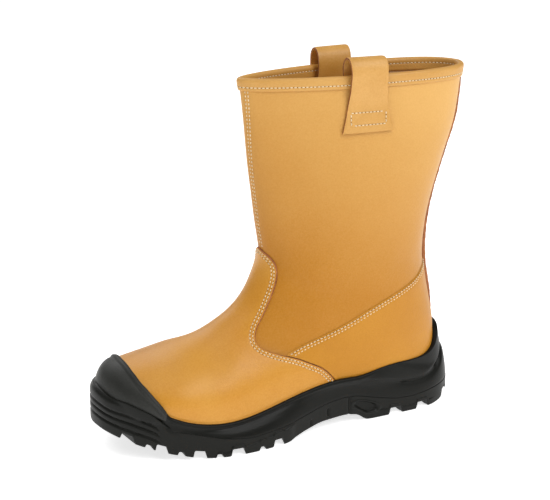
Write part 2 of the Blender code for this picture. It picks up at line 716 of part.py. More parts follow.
def build_binding():
    """The folded band over the collar's rim: a U-shaped profile taken around the collar."""
    t = WALL_T[:-1]
    drop = BINDING_DOWN / np.ptp(upper_points(np.array([0.0, KNOTS[1]]), np.array([0.5, 0.5]))[:, 2])
    low = np.full_like(t, drop * KNOTS[1])
    rim = np.zeros_like(t)
    near = GAP
    far = GAP + BINDING_LEATHER
    profile = [
        (low, near, 0.0), (low, far, 0.0), (rim, far, 0.4), (rim, 0.55 * far, BINDING_RISE),
        (rim, -WALL - 0.55 * far, BINDING_RISE), (rim, -WALL - far, 0.4), (low, -WALL - far, 0.0),
        (low, -WALL - near, 0.0), (rim, -WALL - near, GAP), (rim, near, GAP),
    ]
    ring = []
    for s, lift, rise in profile:
        ring.append(upper_offset(s, t, np.full(t.shape, lift)) + np.array([0.0, 0.0, rise]))
    grid = np.stack(ring, axis=1)
    count, size = grid.shape[:2]
    faces = []
    for i in range(count):
        for k in range(size):
            a, b = i * size, ((i + 1) % count) * size
            faces.append((a + k, a + (k + 1) % size, b + (k + 1) % size, b + k))
    add_object("collar_binding", grid.reshape(-1, 3), faces, BINDING_TAN)


def build_strap(name, side):
    """A pull strap, up the outside of the leg, over in a loop above the rim and down inside."""
    rows = np.array(STRAP)
    way = np.concatenate([[0.0], np.cumsum(np.hypot(np.diff(rows[:, 0]), np.diff(rows[:, 1])))])
    path = spline(way, rows, np.linspace(0.0, way[-1], 21))
    ahead = np.gradient(path[:, :2], axis=0)
    ahead /= np.linalg.norm(ahead, axis=1)[:, None]
    away = np.stack([ahead[:, 1], -ahead[:, 0]], axis=1)
    near = []
    far = []
    for (stand_off, up, half_width), (away_across, away_up) in zip(path, away):
        near_row = []
        far_row = []
        for w in np.linspace(-1.0, 1.0, 4):
            x = STRAP_ALONG + w * half_width
            face, _ = hit(LEG_TREE, (x, side * 120.0, min(up, COLLAR_UP - 1.0)), (0.0, -side, 0.0))
            base = np.array([x, face[1] + side * stand_off, up])
            near_row.append(base)
            far_row.append(base + STRAP_LEATHER * np.array([0.0, side * away_across, away_up]))
        near.append(near_row)
        far.append(far_row)
    points, faces = shell(np.array(far), np.array(near))
    add_object(name, points, faces, STRAP_TAN)


# The sole's columns: outline points and outward directions in plan, heel back first, lateral side, toe, medial side.
OUTLINE_ROWS = [HEEL_BACK, *SOLE_LATERAL, TOE_TIP, *SOLE_MEDIAL[::-1]]
CYCLE = np.array(OUTLINE_ROWS * 3)
CYCLE_WAY = np.concatenate([[0.0], np.cumsum(np.hypot(*np.diff(CYCLE, axis=0).T))])
COUNT = len(OUTLINE_ROWS)
AROUND = np.linspace(CYCLE_WAY[COUNT], CYCLE_WAY[2 * COUNT], 6001)
OUTLINE = spline(CYCLE_WAY, CYCLE, AROUND)
TURN = np.gradient(OUTLINE, axis=0)
OUTWARD = np.stack([-TURN[:, 1], TURN[:, 0]], axis=1)
OUTWARD /= np.linalg.norm(OUTWARD, axis=1)[:, None]


def column_places():
    """Which outline samples the columns stand at: the heel, the stations up the lateral side, the toe, and back."""
    toe = int(np.argmax(OUTLINE[:, 0]))
    lateral = [int(np.argmin(np.abs(OUTLINE[:toe, 0] - x))) for x in STATIONS]
    medial = [toe + int(np.argmin(np.abs(OUTLINE[toe:, 0] - x))) for x in STATIONS]
    return [0] + lateral + [toe] + medial[::-1]


COLUMNS = column_places()
PLAN = OUTLINE[COLUMNS]
OUT = OUTWARD[COLUMNS]
X = PLAN[:, 0]
TOE_COLUMN = int(np.argmax(X))
BUMPER_BLEND = np.clip((X - BUMPER_FROM) / BUMPER_RAMP, 0.0, 1.0)
TUCK = BUMPER_BLEND * (BUMPER_RUBBER + BUMPER_TUCK)


def sole_ring(inset, up):
    """A ring of points at an inset from the outline and at a height, each given once or for every column."""
    plan = PLAN - OUT * np.broadcast_to(np.asarray(inset, float), X.shape)[:, None]
    return np.column_stack([plan, np.broadcast_to(np.asarray(up, float), X.shape)])


def foot_hit(column, up):
    """Where the covered foot is met from outside the sole at a column and a height."""
    start = np.array([*(PLAN[column] + 30.0 * OUT[column]), up])
    return hit(SKIN_TREE, start, (*(-OUT[column]), 0.0))


def core_up(along):
    return smooth_height(LEATHER_BOTTOM, np.clip(along, 8.0, 299.0)) - CORE_DROP


def edge_up(along):
    """Height of the parting just inside the sole's edge; behind the bumper it drops to the core's height."""
    blend = np.clip((along - BUMPER_FROM) / BUMPER_RAMP, 0.0, 1.0)
    return height(PARTING, along) * (1.0 - blend) + core_up(along) * blend


def cap_edge_hit(degrees, side):
    rows = np.array(CAP_EDGE)
    along = np.interp(degrees, rows[:, 0], rows[:, 1])
    angle = math.radians(degrees)
    start = (along, CAP_CENTRE_ACROSS, CAP_CENTRE_UP)
    return hit(SKIN_TREE, start, (0.0, side * math.cos(angle), math.sin(angle)))


def outward(normal, column):
    """A hit's normal turned to the outside of the foot."""
    toward = np.array([*OUT[column], 0.5])
    return normal if normal @ toward > 0.0 else -normal


def wall_columns(steps):
    """For each column, hits on the covered foot from the rand line up to the lip or the scuff cap's edge."""
    toe = TOE_COLUMN
    way = np.concatenate([[0.0], np.cumsum(np.linalg.norm(np.diff(PLAN, axis=0), axis=1))])
    lateral_foot = np.interp(CAP_FOOT, X[: toe + 1], way[: toe + 1])
    medial_foot = np.interp(-CAP_FOOT, -X[toe:], way[toe:])
    places = np.zeros((len(X), steps, 3))
    normals = np.zeros((len(X), steps, 3))
    for c in range(len(X)):
        low, low_normal = foot_hit(c, float(smooth_height(RAND_LINE, X[c])) + 0.8)
        if X[c] > CAP_FOOT:
            start = lateral_foot if c <= toe else medial_foot
            degrees = 90.0 * (way[c] - start) / (way[toe] - start)
            top, top_normal = cap_edge_hit(degrees, 1.0 if c <= toe else -1.0)
        else:
            top, top_normal = foot_hit(c, float(smooth_height(LIP, X[c])))
        for k in range(steps):
            f = k / (steps - 1)
            if k == 0:
                place_hit, normal = low, low_normal
            elif k == steps - 1:
                place_hit, normal = top, top_normal
            else:
                centre = np.array([min(max(X[c], 40.0), 250.0), CAP_CENTRE_ACROSS, 34.0])
                target = low + f * (top - low)
                place_hit, normal = hit(SKIN_TREE, centre, target - centre)
            places[c, k] = place_hit
            normals[c, k] = outward(normal, c)
    return places, normals


def build_midsole():
    """The moulded rand with its rolled lip, heel cup and scuff cap, cut out for the covered foot."""
    steps = 4
    places, normals = wall_columns(steps)
    parting = height(PARTING, X)
    rand = smooth_height(RAND_LINE, X)
    cap = np.clip((X - CAP_FOOT) / CAP_RAMP, 0.0, 1.0)
    cup = np.clip((CUP_END - X) / CUP_RAMP, 0.0, 1.0)
    fin = np.clip((FIN_END - X) / FIN_END, 0.0, 1.0)
    rings = [
        sole_ring(CORE_INSET + TUCK, core_up(X) + GAP / 2.0),
        sole_ring(1.0 + TUCK, edge_up(X) + GAP / 2.0),
        sole_ring(0.5 + TUCK, parting + 2.5),
        sole_ring(1.4 + TUCK + FIN_TUCK * fin, rand - 1.2),
    ]
    body = LIP_RUBBER + cap * (CAP_RUBBER - LIP_RUBBER) + cup * (CUP_RUBBER - LIP_RUBBER) + fin * FIN_RUBBER
    for k in range(steps):
        rings.append(places[:, k] + normals[:, k] * (GAP + body)[:, None])
    rings.append(places[:, -1] - normals[:, -1] * LIP_TURN)
    points, faces = ring_stack(rings)
    midsole = add_object("midsole", points, faces, RAND_BLACK)
    boolean(midsole, build_last(), "DIFFERENCE")


def build_last():
    """The covered foot as a closed form, a gap larger all over, which hollows out the midsole.

    Its underside steps up inside the turned-in edge of the leather, so that the footbed lies on the rubber.
    """
    first = HEEL_LINE - 5
    grid = wall_grid(skin(WALL_S) + GAP + 0.1)[first:]
    grid[-1, :, 2] -= EDGE_CLEAR
    rows, columns = grid.shape[:2]
    heel = HEEL_LINE - first
    faces = grid_faces(rows, columns)
    floor = upper_points(WALL_S[first + heel :, None], np.array([[-1.0, 1.0]]))
    floor[:, 0, 1] += EDGE_CLEAR
    floor[:, 1, 1] -= EDGE_CLEAR
    floor[0, :, 1] = 0.0
    floor[:, :, 0] += 2.0 * EDGE_CLEAR * np.clip(1.0 - floor[:, :, 0] / HEEL_MIDDLE, 0.0, 1.0)
    floor[-1, :, 2] -= EDGE_CLEAR
    base = rows * columns
    points = np.concatenate([grid.reshape(-1, 3), floor.reshape(-1, 3)])
    for i in range(heel, rows - 1):
        a, b = i * columns, (i + 1) * columns
        e, f = base + 2 * (i - heel), base + 2 * (i + 1 - heel)
        faces.append((a, b, f, e))
        faces.append((a + columns - 1, b + columns - 1, f + 1, e + 1))
        faces.append((e, f, f + 1, e + 1))
    last = (rows - 1) * columns
    end = base + 2 * (rows - 1 - heel)
    ring = [last + j for j in range(columns)]
    for j in range(columns // 2):
        faces.append(tuple(dict.fromkeys((ring[j], ring[j + 1], ring[-2 - j], ring[-1 - j]))))
        faces.append(tuple(dict.fromkeys((j, j + 1, columns - 2 - j, columns - 1 - j))))
    faces.append((ring[0], ring[-1], end + 1, end))
    return add_object("last_form", points, faces, cutter=True)


def build_insole():
    """The footbed board, inside the leather's bottom edge."""
    s = np.linspace(HEEL_KNOT, 1.0, 40)
    lateral = upper_points(s, np.ones_like(s))
    arc = upper_points(np.ones(21), np.linspace(1.0, -1.0, 21))[1:-1]
    medial = upper_points(s, -np.ones_like(s))[::-1]
    loop = np.concatenate([lateral, arc, medial[:-1]])
    turn = np.roll(loop, -1, axis=0) - np.roll(loop, 1, axis=0)
    inward = np.stack([turn[:, 1], -turn[:, 0], np.zeros(len(loop))], axis=1)
    inward /= np.linalg.norm(inward, axis=1)[:, None]
    side = INSOLE_INSET
    end = INSOLE_INSET + WALL
    inset = np.interp(loop[:, 0], [8.0, 30.0, 50.0, 225.0, 250.0], [end, end, side, side, end])
    edge = loop + inward * inset[:, None]
    base = smooth_height(LEATHER_BOTTOM, np.clip(edge[:, 0], 8.0, 299.0))
    low = np.column_stack([edge[:, :2], base + GAP + 0.1])
    high = np.column_stack([edge[:, :2], base + INSOLE])
    points, faces = ring_stack([low, high])
    add_object("insole", points, faces, INSOLE_BOARD)


def build_outsole():
    """The tread: heel block, arch, toe spring and lugs, with the ribbed bumper standing up around the toe."""
    tips = height(LUG_TIPS, X)
    parting = height(PARTING, X) - GAP / 2.0
    rings = [
        sole_ring(CORE_INSET + TUCK, core_up(X) - GAP / 2.0),
        sole_ring(1.0 + TUCK, edge_up(X) - GAP / 2.0),
        sole_ring(0.3, parting),
        sole_ring(0.0, np.maximum(parting - 3.0, tips + 2.8)),
        sole_ring(0.3, tips + 1.2),
        sole_ring(1.3, tips),
    ]
    points, faces = ring_stack(rings)
    outsole = add_object("outsole", points, faces, TREAD_BLACK)
    boolean(outsole, build_bumper(), "UNION")
    boolean(outsole, build_grooves(), "DIFFERENCE")


def build_bumper():
    """The part of the tread that stands up around the toe, with raised ribs running around it."""
    columns = [c for c in range(len(X)) if X[c] >= BUMPER_START]
    outer = []
    inner = []
    for c in columns:
        parting = float(height(PARTING, X[c]))
        low = parting - BUMPER_FOOT
        top = float(smooth_height(BUMPER_TOP, X[c]))
        fade = 0.25 + 0.75 * BUMPER_BLEND[c]
        outer_column = []
        inner_column = []
        for k, rib in enumerate(BUMPER_RIBS):
            up = low + (top - low) * k / (len(BUMPER_RIBS) - 1)
            base, _ = foot_hit(c, max(up, parting + 8.0))
            reach = (base[:2] - PLAN[c]) @ OUT[c] + 2.0 * GAP + CAP_RUBBER + BUMPER_CLEAR
            if up < parting + 6.0:
                reach = max(reach, -(BUMPER_RUBBER + 0.5))
            near = PLAN[c] + OUT[c] * reach
            far = PLAN[c] + OUT[c] * (reach + BUMPER_RUBBER * rib * fade)
            inner_column.append((*near, up))
            outer_column.append((*far, up))
        outer.append(outer_column)
        inner.append(inner_column)
    points, faces = shell(np.array(outer), np.array(inner))
    return add_object("bumper_form", points, faces, cutter=True)


def groove_block(corners_low, corners_high):
    points = np.array(list(corners_low) + list(corners_high))
    faces = [(0, 1, 2, 3), (4, 5, 6, 7)] + [(k, (k + 1) % 4, 4 + (k + 1) % 4, 4 + k) for k in range(4)]
    return points, faces


def build_grooves():
    """All the tread's grooves as one cutter of separate blocks, narrower at their floors than at the lug tips."""
    blocks = []
    slope = GROOVE_SLOPE
    for row in GROOVES:
        middle = (row.start + row.stop) / 2.0
        low = float(height(LUG_TIPS, middle)) - GROOVE_BELOW
        high = low + GROOVE_BELOW + GROOVE_DEPTH
        edge = float(np.interp(middle, X[: TOE_COLUMN + 1], PLAN[: TOE_COLUMN + 1, 1]))
        skew = row.forward
        back = skew * (GROOVE_REACH - edge) / (edge - row.inner)
        for side in (1.0, -1.0):
            near = row.inner * side
            far = GROOVE_REACH * side
            low_corners = [(row.start - back, far, low), (row.stop - back, far, low),
                           (row.stop + skew, near, low), (row.start + skew, near, low)]
            high_corners = [(row.start - back + slope, far, high), (row.stop - back - slope, far, high),
                            (row.stop + skew - slope, near, high), (row.start + skew + slope, near, high)]
            blocks.append(groove_block(low_corners, high_corners))
    half = SPINE_SLOT_WIDTH / 2.0
    for middle in SPINE_SLOTS:
        low = float(height(LUG_TIPS, middle)) - GROOVE_BELOW
        high = low + GROOVE_BELOW + 0.7 * GROOVE_DEPTH
        corners = [(middle - half, -SPINE_SLOT_HALF), (middle + half, -SPINE_SLOT_HALF),
                   (middle + half, SPINE_SLOT_HALF), (middle - half, SPINE_SLOT_HALF)]
        blocks.append(groove_block([(*c, low) for c in corners], [(*c, high) for c in corners]))
    points = []
    faces = []
    for block_points, block_faces in blocks:
        first = sum(len(p) for p in points)
        points.append(block_points)
        faces += [tuple(first + k for k in face) for face in block_faces]
    return add_object("groove_forms", np.concatenate(points), faces, cutter=True)


build_upper()
build_vamp()
build_counter("counter_lateral", 1.0)
build_counter("counter_medial", -1.0)
build_welt()
build_binding()
build_strap("pull_loop_lateral", 1.0)
build_strap("pull_loop_medial", -1.0)
build_midsole()
build_insole()
build_outsole()
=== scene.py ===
"""The looks of the tan leather rigger boot: leathers, seams, stitches and moulded rubber around the solids.

Lengths in the tables are millimetres. Along runs from the back of the heel towards the toe, across runs
towards the wearer's left, which is the outer (lateral) side of this boot, and up runs from the floor. The
section tables and the functions that read them are the ones that the solids are built from, read here more
finely. Only four grooves under the forefoot lean the other way here, so that the floor shows through their
notches.
"""
import math
from collections import namedtuple

import bpy
import numpy as np
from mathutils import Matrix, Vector
from mathutils.bvhtree import BVHTree


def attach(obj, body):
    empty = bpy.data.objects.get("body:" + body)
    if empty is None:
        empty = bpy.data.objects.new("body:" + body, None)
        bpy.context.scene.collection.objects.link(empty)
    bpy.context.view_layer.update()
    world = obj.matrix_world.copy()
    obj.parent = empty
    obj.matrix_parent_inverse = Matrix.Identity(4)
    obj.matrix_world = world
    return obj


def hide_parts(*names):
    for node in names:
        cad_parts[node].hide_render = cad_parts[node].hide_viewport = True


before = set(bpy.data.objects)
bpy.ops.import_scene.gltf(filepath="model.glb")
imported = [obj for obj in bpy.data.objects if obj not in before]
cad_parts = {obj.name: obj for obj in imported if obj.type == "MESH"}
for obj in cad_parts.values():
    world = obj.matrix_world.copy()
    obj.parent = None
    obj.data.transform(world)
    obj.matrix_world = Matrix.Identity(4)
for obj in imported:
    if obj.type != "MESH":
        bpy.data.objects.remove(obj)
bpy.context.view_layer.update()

# Metres in a millimetre, where the boot's origin lies along it, how far off the rays start, a length too
# small to matter, and the step between the places that a face's direction is worked out from.
MM = 0.001
HEEL_MIDDLE = 45.0
FAR = 130.0
TINY = 1e-9
NORMAL_STEP = 1e-4

# Thicknesses of the leathers and of the moulded rubber, and the gap left between neighbours.
GAP = 0.3
WALL = 2.2
VAMP_LEATHER = 1.8
COUNTER_LEATHER = 1.0
STRAP_LEATHER = 2.0
WELT_WIDTH = 4.2
WELT_HEIGHT = 2.6
WELT_LIFT = 0.5
INSOLE = 4.5
INSOLE_INSET = 1.2
CAP_RUBBER = 2.2
CUP_RUBBER = 2.8
FIN_RUBBER = 1.6
LIP_RUBBER = 1.7
BUMPER_RUBBER = 2.4
GROOVE_DEPTH = 5.5


def table(kind, rows):
    """Rows of numbers with their columns named."""
    return [kind(*row) for row in rows]


# Sections of the leather wall's outer face, from the collar down to the heel. Each runs from the front of the
# leg to the back seam; widest is where the half-widths are reached, crown and tail are its end roundness.
LegRow = namedtuple("LegRow", "front_along front_up back_along back_up lateral medial widest crown tail")
LEG = table(LegRow, (
    (183.2, 278.5, -8.4, 278.5, 31.5, 31.5, 0.62, 0.35, 0.82),
    (181.0, 262.0, -6.4, 260.0, 32.6, 32.6, 0.60, 0.38, 0.76),
    (178.6, 240.0, -3.6, 237.0, 34.2, 34.2, 0.55, 0.44, 0.67),
    (176.0, 214.0, 3.0, 216.0, 36.5, 36.5, 0.53, 0.48, 0.64),
    (172.4, 188.0, 11.8, 190.0, 38.5, 38.5, 0.51, 0.52, 0.62),
    (169.2, 165.0, 19.0, 165.0, 39.5, 39.0, 0.50, 0.55, 0.60),
    (166.2, 147.0, 22.8, 142.0, 40.0, 39.5, 0.50, 0.56, 0.60),
    (165.6, 135.0, 23.4, 122.0, 40.5, 40.0, 0.50, 0.56, 0.60),
    (169.8, 122.5, 21.0, 103.0, 41.0, 40.0, 0.50, 0.56, 0.60),
    (175.0, 112.2, 16.6, 84.0, 41.4, 39.8, 0.50, 0.55, 0.60),
    (181.3, 103.4, 11.5, 62.0, 41.2, 39.6, 0.50, 0.55, 0.62),
    (189.0, 95.8, 8.6, 42.0, 41.0, 39.4, 0.50, 0.55, 0.64),
    (197.5, 89.4, 8.0, 25.0, 40.8, 39.2, 0.50, 0.55, 0.66),
))

# Sections of the foot, from the heel to the toe. Each runs from the ridge of the vamp to the bottom edge of
# the leather; the last one is the edge around the toe itself.
FootRow = namedtuple(
    "FootRow", "ridge_along ridge_up ridge_across edge_along lateral medial widest crown tail")
FOOT = table(FootRow, (
    (205.0, 85.0, -0.5, 30.0, 40.8, 39.0, 0.52, 0.54, 0.55),
    (213.0, 81.4, -1.0, 70.0, 41.2, 38.8, 0.53, 0.54, 0.50),
    (221.5, 78.4, -1.5, 112.0, 42.0, 39.0, 0.54, 0.54, 0.45),
    (231.0, 75.4, -2.0, 155.0, 44.6, 41.6, 0.56, 0.55, 0.45),
    (241.5, 72.6, -2.5, 190.0, 47.4, 45.4, 0.58, 0.57, 0.50),
    (252.5, 69.5, -3.0, 215.0, 48.2, 47.4, 0.60, 0.60, 0.55),
    (264.5, 67.2, -3.0, 233.0, 46.8, 48.2, 0.63, 0.61, 0.60),
    (275.5, 65.8, -3.2, 243.5, 44.2, 46.4, 0.66, 0.60, 0.60),
    (284.5, 64.6, -3.4, 249.5, 41.8, 44.6, 0.70, 0.57, 0.60),
    (291.8, 61.8, -3.5, 253.2, 39.8, 43.0, 0.74, 0.53, 0.60),
    (296.2, 56.0, -3.6, 255.9, 38.2, 41.6, 0.78, 0.49, 0.60),
    (298.2, 48.5, -3.7, 257.6, 36.8, 40.4, 0.82, 0.44, 0.60),
    (299.0, 40.0, -3.8, 258.8, 35.6, 39.4, 0.86, 0.40, 0.60),
    (299.2, 31.0, -3.8, 259.6, 34.6, 38.6, 0.90, 0.37, 0.60),
))

# Handles of the sections' curves, as a share of their length: this one makes a curve nearly round.
ROUND = 0.55

# Bottom edge of the leather: half-widths and height, hidden inside the sole.
EdgeRow = namedtuple("EdgeRow", "along lateral medial")
LEATHER_EDGE = table(EdgeRow, (
    (8.0, 0.0, 0.0), (12.0, 13.5, 13.5), (18.0, 20.5, 20.5), (30.0, 28.5, 28.5), (45.0, 32.0, 32.0),
    (62.0, 33.0, 32.0), (88.0, 32.5, 29.5), (112.0, 33.0, 27.5), (140.0, 35.0, 28.5), (165.0, 38.8, 33.2),
    (190.0, 42.2, 38.6), (212.0, 42.8, 41.4), (235.0, 40.2, 41.6), (260.0, 32.8, 36.8),
))
HeightRow = namedtuple("HeightRow", "along up")
LEATHER_BOTTOM = table(HeightRow, (
    (8.0, 25.0), (60.0, 24.5), (100.0, 24.0), (130.0, 22.0), (160.0, 18.5), (190.0, 15.8), (215.0, 15.2),
    (240.0, 17.5), (258.0, 21.0), (280.0, 26.0), (299.0, 30.5),
))

# Outline of the sole seen from above, from the back of the heel along each side to the toe tip.
OutlineRow = namedtuple("OutlineRow", "along across")
SOLE_LATERAL = table(OutlineRow, (
    (0.0, 14.5), (6.5, 25.0), (17.5, 33.5), (38.0, 39.6), (60.0, 40.8), (85.0, 41.2), (110.0, 42.4),
    (140.0, 46.4), (165.0, 52.4), (190.0, 56.2), (215.0, 56.0), (240.0, 51.6), (260.0, 45.6), (278.0, 37.2),
    (292.0, 26.5), (302.3, 12.5),
))
SOLE_MEDIAL = table(OutlineRow, (
    (0.0, -14.5), (6.5, -25.0), (17.5, -33.5), (38.0, -39.6), (60.0, -40.6), (85.0, -41.2), (110.0, -41.8),
    (140.0, -43.6), (165.0, -46.6), (190.0, -50.0), (215.0, -52.5), (240.0, -52.3), (260.0, -48.8),
    (278.0, -42.4), (292.5, -32.4), (302.8, -19.8),
))
HEEL_BACK = OutlineRow(-3.5, 0.0)
TOE_TIP = OutlineRow(307.3, -4.0)

# Heights around the sole, read from the side, and over how long a way their corners are rounded.
LUG_TIPS = table(HeightRow, (
    (-3.5, 9.0), (3.0, 6.0), (9.0, 3.2), (16.0, 1.0), (22.0, 0.0), (91.0, 0.0), (98.0, 6.0), (110.0, 8.4),
    (135.0, 7.6), (152.0, 4.2), (166.0, 0.0), (230.0, 0.0), (245.0, 2.2), (262.0, 6.3), (276.0, 10.8),
    (290.0, 15.6), (307.3, 22.5),
))
PARTING = table(HeightRow, (
    (-3.5, 17.5), (20.0, 15.5), (46.0, 13.0), (63.0, 13.5), (82.0, 18.0), (99.0, 22.8), (112.0, 24.0),
    (128.0, 22.5), (165.0, 15.0), (199.0, 12.3), (220.0, 15.0), (238.0, 20.0), (254.0, 24.0), (275.0, 27.0),
    (307.3, 31.0),
))
RAND_LINE = table(HeightRow, (
    (-3.5, 43.0), (4.0, 39.0), (12.0, 32.5), (24.0, 27.0), (38.0, 25.0), (57.0, 27.0), (76.0, 32.5),
    (96.0, 36.0), (113.0, 36.6), (134.0, 34.8), (163.0, 28.6), (188.0, 23.6), (216.0, 21.2), (238.0, 24.0),
    (251.0, 28.0), (262.0, 32.5), (280.0, 36.0), (307.3, 40.0),
))
LIP = table(HeightRow, (
    (-3.5, 61.5), (2.0, 58.0), (9.0, 51.0), (20.0, 45.0), (37.0, 42.8), (58.0, 43.6), (77.0, 43.0),
    (98.0, 39.8), (113.0, 40.2), (134.0, 38.4), (163.0, 32.2), (188.0, 27.2), (216.0, 24.8), (238.0, 27.6),
    (251.0, 31.6), (262.0, 36.5), (307.3, 36.5),
))
BUMPER_TOP = table(HeightRow, (
    (255.0, 25.5), (262.0, 29.0), (269.0, 37.0), (277.0, 43.5), (287.0, 48.0), (297.0, 52.0), (307.3, 56.5),
))
HEIGHT_SPREAD = (-3.0, -1.5, 0.0, 1.5, 3.0)

# Where the rand and the tread meet inside the sole: how far under the leather and in from the outline.
CORE_DROP = 6.5
CORE_INSET = 4.0
EDGE_INSET = 1.6

# Where the sole's features start and over how long a way they come in, the bumper's clearance, and how far
# the rand is tucked in behind the bumper and at the back of the heel.
BUMPER_FROM = 252.0
BUMPER_RAMP = 14.0
BUMPER_CLEAR = 0.4
BUMPER_TUCK = 0.8
CUP_END = 100.0
CUP_RAMP = 20.0
FIN_TUCK = 2.2
CAP_RAMP = 6.0

# The scuff cap's rear edge: angle up from its two ends, and where along the boot it stands.
CapRow = namedtuple("CapRow", "degrees along")
CAP_EDGE = table(CapRow, (
    (0.0, 262.0), (7.0, 264.5), (21.0, 271.5), (38.0, 277.5), (57.0, 280.0), (90.0, 281.0),
))
CAP_FOOT = 262.0
CAP_CENTRE_ACROSS = -3.0
CAP_CENTRE_UP = 36.5

# The vamp's cut edge and the counter's seam, the same on both sides, as they show from the side, and how low
# the heel panels reach.
VAMP_EDGE = table(HeightRow, (
    (168.5, 146.0), (166.6, 144.8), (162.2, 139.6), (160.2, 136.2), (159.4, 131.6), (160.1, 124.8),
    (162.6, 116.7), (166.1, 108.6), (170.6, 99.9), (175.4, 92.4), (179.0, 86.9), (181.2, 82.1),
    (182.0, 78.4), (181.4, 75.4), (178.6, 72.6), (174.0, 70.2), (167.7, 67.8), (159.6, 65.2), (151.0, 62.2),
    (142.2, 58.0), (134.5, 54.2), (128.5, 49.8), (124.4, 45.4), (121.3, 41.5), (117.5, 34.0), (114.0, 24.0),
))
COUNTER_SEAM = table(HeightRow, (
    (17.0, 119.5), (24.0, 117.2), (31.0, 114.6), (40.5, 111.0), (53.7, 107.0), (75.5, 100.6), (94.5, 93.4),
    (112.0, 85.6), (137.5, 75.8), (160.0, 66.8),
))
COUNTER_FOOT = 29.0

# Tread grooves: from and to along the outer edge at the lug tips, how far from the middle their inner ends
# lie and how far forward of the outer ones. Then the slots along the middle.
GROOVE_SLOPE = 1.6
GrooveRow = namedtuple("GrooveRow", "start stop inner forward")
GROOVES = table(GrooveRow, (
    (4.0, 14.0, 13.0, 3.0), (31.0, 43.0, 13.0, 3.0), (57.0, 69.0, 13.0, 3.0), (171.0, 180.0, 13.0, -9.0),
    (205.0, 216.0, 13.0, -10.0), (235.0, 245.0, 13.0, -10.0), (263.0, 272.0, 12.0, -7.0),
    (286.0, 293.0, 9.0, 4.0),
))
SPINE_SLOTS = (196.0, 222.0, 248.0)
SPINE_SLOT_WIDTH = 5.0
SPINE_SLOT_HALF = 9.0
SPINE_SLOT_SHARE = 0.7

# The pull straps: how far the strap's near face stands off the leg's outer face, its height and half-width.
StrapRow = namedtuple("StrapRow", "stand_off up half_width")
STRAP = table(StrapRow, (
    (0.6, 237.0, 21.5), (0.6, 243.0, 19.8), (0.6, 250.0, 18.0), (0.7, 256.0, 16.8), (1.4, 261.5, 15.9),
    (3.0, 268.0, 15.2), (4.4, 275.0, 14.9), (5.0, 282.0, 14.7), (3.8, 287.8, 14.9), (0.8, 291.2, 14.9),
    (-2.8, 291.6, 14.9), (-5.8, 289.2, 14.9), (-7.4, 284.4, 14.9), (-7.2, 278.0, 14.5), (-6.2, 271.0, 14.5),
    (-4.6, 264.5, 14.5), (-3.4, 258.0, 14.5), (-3.3, 250.0, 14.5),
))

# Where the straps lie along the boot, and up to how far under the rim they follow the leg's face. Then the
# rim's height, how far down its band reaches, and the heights of the back seam's ends.
STRAP_ALONG = 91.0
STRAP_UNDER_RIM = 1.0
COLLAR_UP = 278.5
BINDING_DOWN = 8.5
WELT_TOP_UP = 266.0
WELT_FOOT_UP = 64.5

# How finely the surfaces are cut: sections, columns around the leg, columns around the sole, and so on.
LEG_LINES = 172
FOOT_LINES = 75
AROUND_LINES = 151
VAMP_LINES = 210
COUNTER_LINES = 150
COUNTER_COLUMNS = 90
WELT_LINES = 260
BAND_COLUMNS = 360
SOLE_LINES = 900
OUTLINE_POINTS = 6001
STRAP_LINES = 90
STRAP_WIDTH_LINES = 27
FOOTBED_LINES = 150
FOOTBED_TOE_LINES = 61
SEARCH_LINES = 300
SEARCH_COLUMNS = 221
SNAP = 0.02
BLOCK = 4000

# Edges sharper than these angles, in degrees, are shaded as corners.
SHEET_SHARP = 50.0
RAND_SHARP = 60.0
TREAD_SHARP = 45.0

# Lines on the leather: points of a side view's curve, least gap of its knots, step of the finished line, and
# points that tell which way is out of the leg and of the foot.
SIDE_POINTS = 120
LINE_GAP = 4.0
LINE_STEP = 0.6
SECTION_POINTS = 600
WELT_SECTION_POINTS = 400
LEG_MIDDLE = 95.0
LEG_FROM_UP = 110.0
FOOT_MIDDLE = (100.0, 0.0, 60.0)
VAMP_TOP_RISE = 0.6

# Stitching: length of one stitch and its gap, thread radius, how high it stands, how its ends dip and taper.
PITCH = 3.0
STITCH = 2.05
THREAD = 0.48
STITCH_RISE = 0.30
STITCH_DIP = 0.34
THREAD_TAPER = 0.72
THREAD_RINGS = 6
THREAD_SIDES = 6
THREAD_ANGLES = [2.0 * math.pi * k / THREAD_SIDES for k in range(THREAD_SIDES)]
# Dark discs of painted shade in the needle holes: their radius, their lift over the stitches' lift, and a
# step ahead that turns them along the line.
HOLE = 0.46
HOLE_LIFT = 0.06
HOLE_AHEAD = 0.5

# Stitch rows by their distance from an edge, how deep and wide they sink, where the leather is cut for them.
ROW_DEPTH = 0.34
ROW_HALF = 0.55
ROW_CUTS = (-1.6, -0.7, 0.0, 0.7, 1.6)
VAMP_ROWS = (2.1, 4.3)
COUNTER_ROWS = (1.6, 3.8)
COUNTER_ROW_LIFT = 0.8
COUNTER_ROW_VAMP_GAP = 1.2
COUNTER_ROW_WELT_GAP = 1.0
FRONT_ROWS = (0.0, 2.2)
FRONT_ROW_LIFT = 0.75
FRONT_ROW_VAMP_GAP = 1.0
FRONT_ROW_UNDER_BAND = 1.5
FRONT_ROW_LOW = 120.0
FRONT_POINTS = 260
FRONT_COLUMNS = 401
FRONT_REACH = 0.5
COLLAR_ROW = 5.6
COLLAR_ROW_INSIDE = 2.8
COLLAR_ROW_LIFT = 1.25
COLLAR_POINTS = 700

# The lap of the front seam: where its edge lies from the first row, how high it stands and how it fades out.
FRONT_CROWDING = 0.06
FRONT_LAP = -3.0
FRONT_LAP_CUTS = (0.0, 0.25, 0.7)
FRONT_LAP_STEP = 0.5
FRONT_LAP_RISE = 0.7
FRONT_LAP_FADE = 26.0
FRONT_VAMP_FADE = 4.0

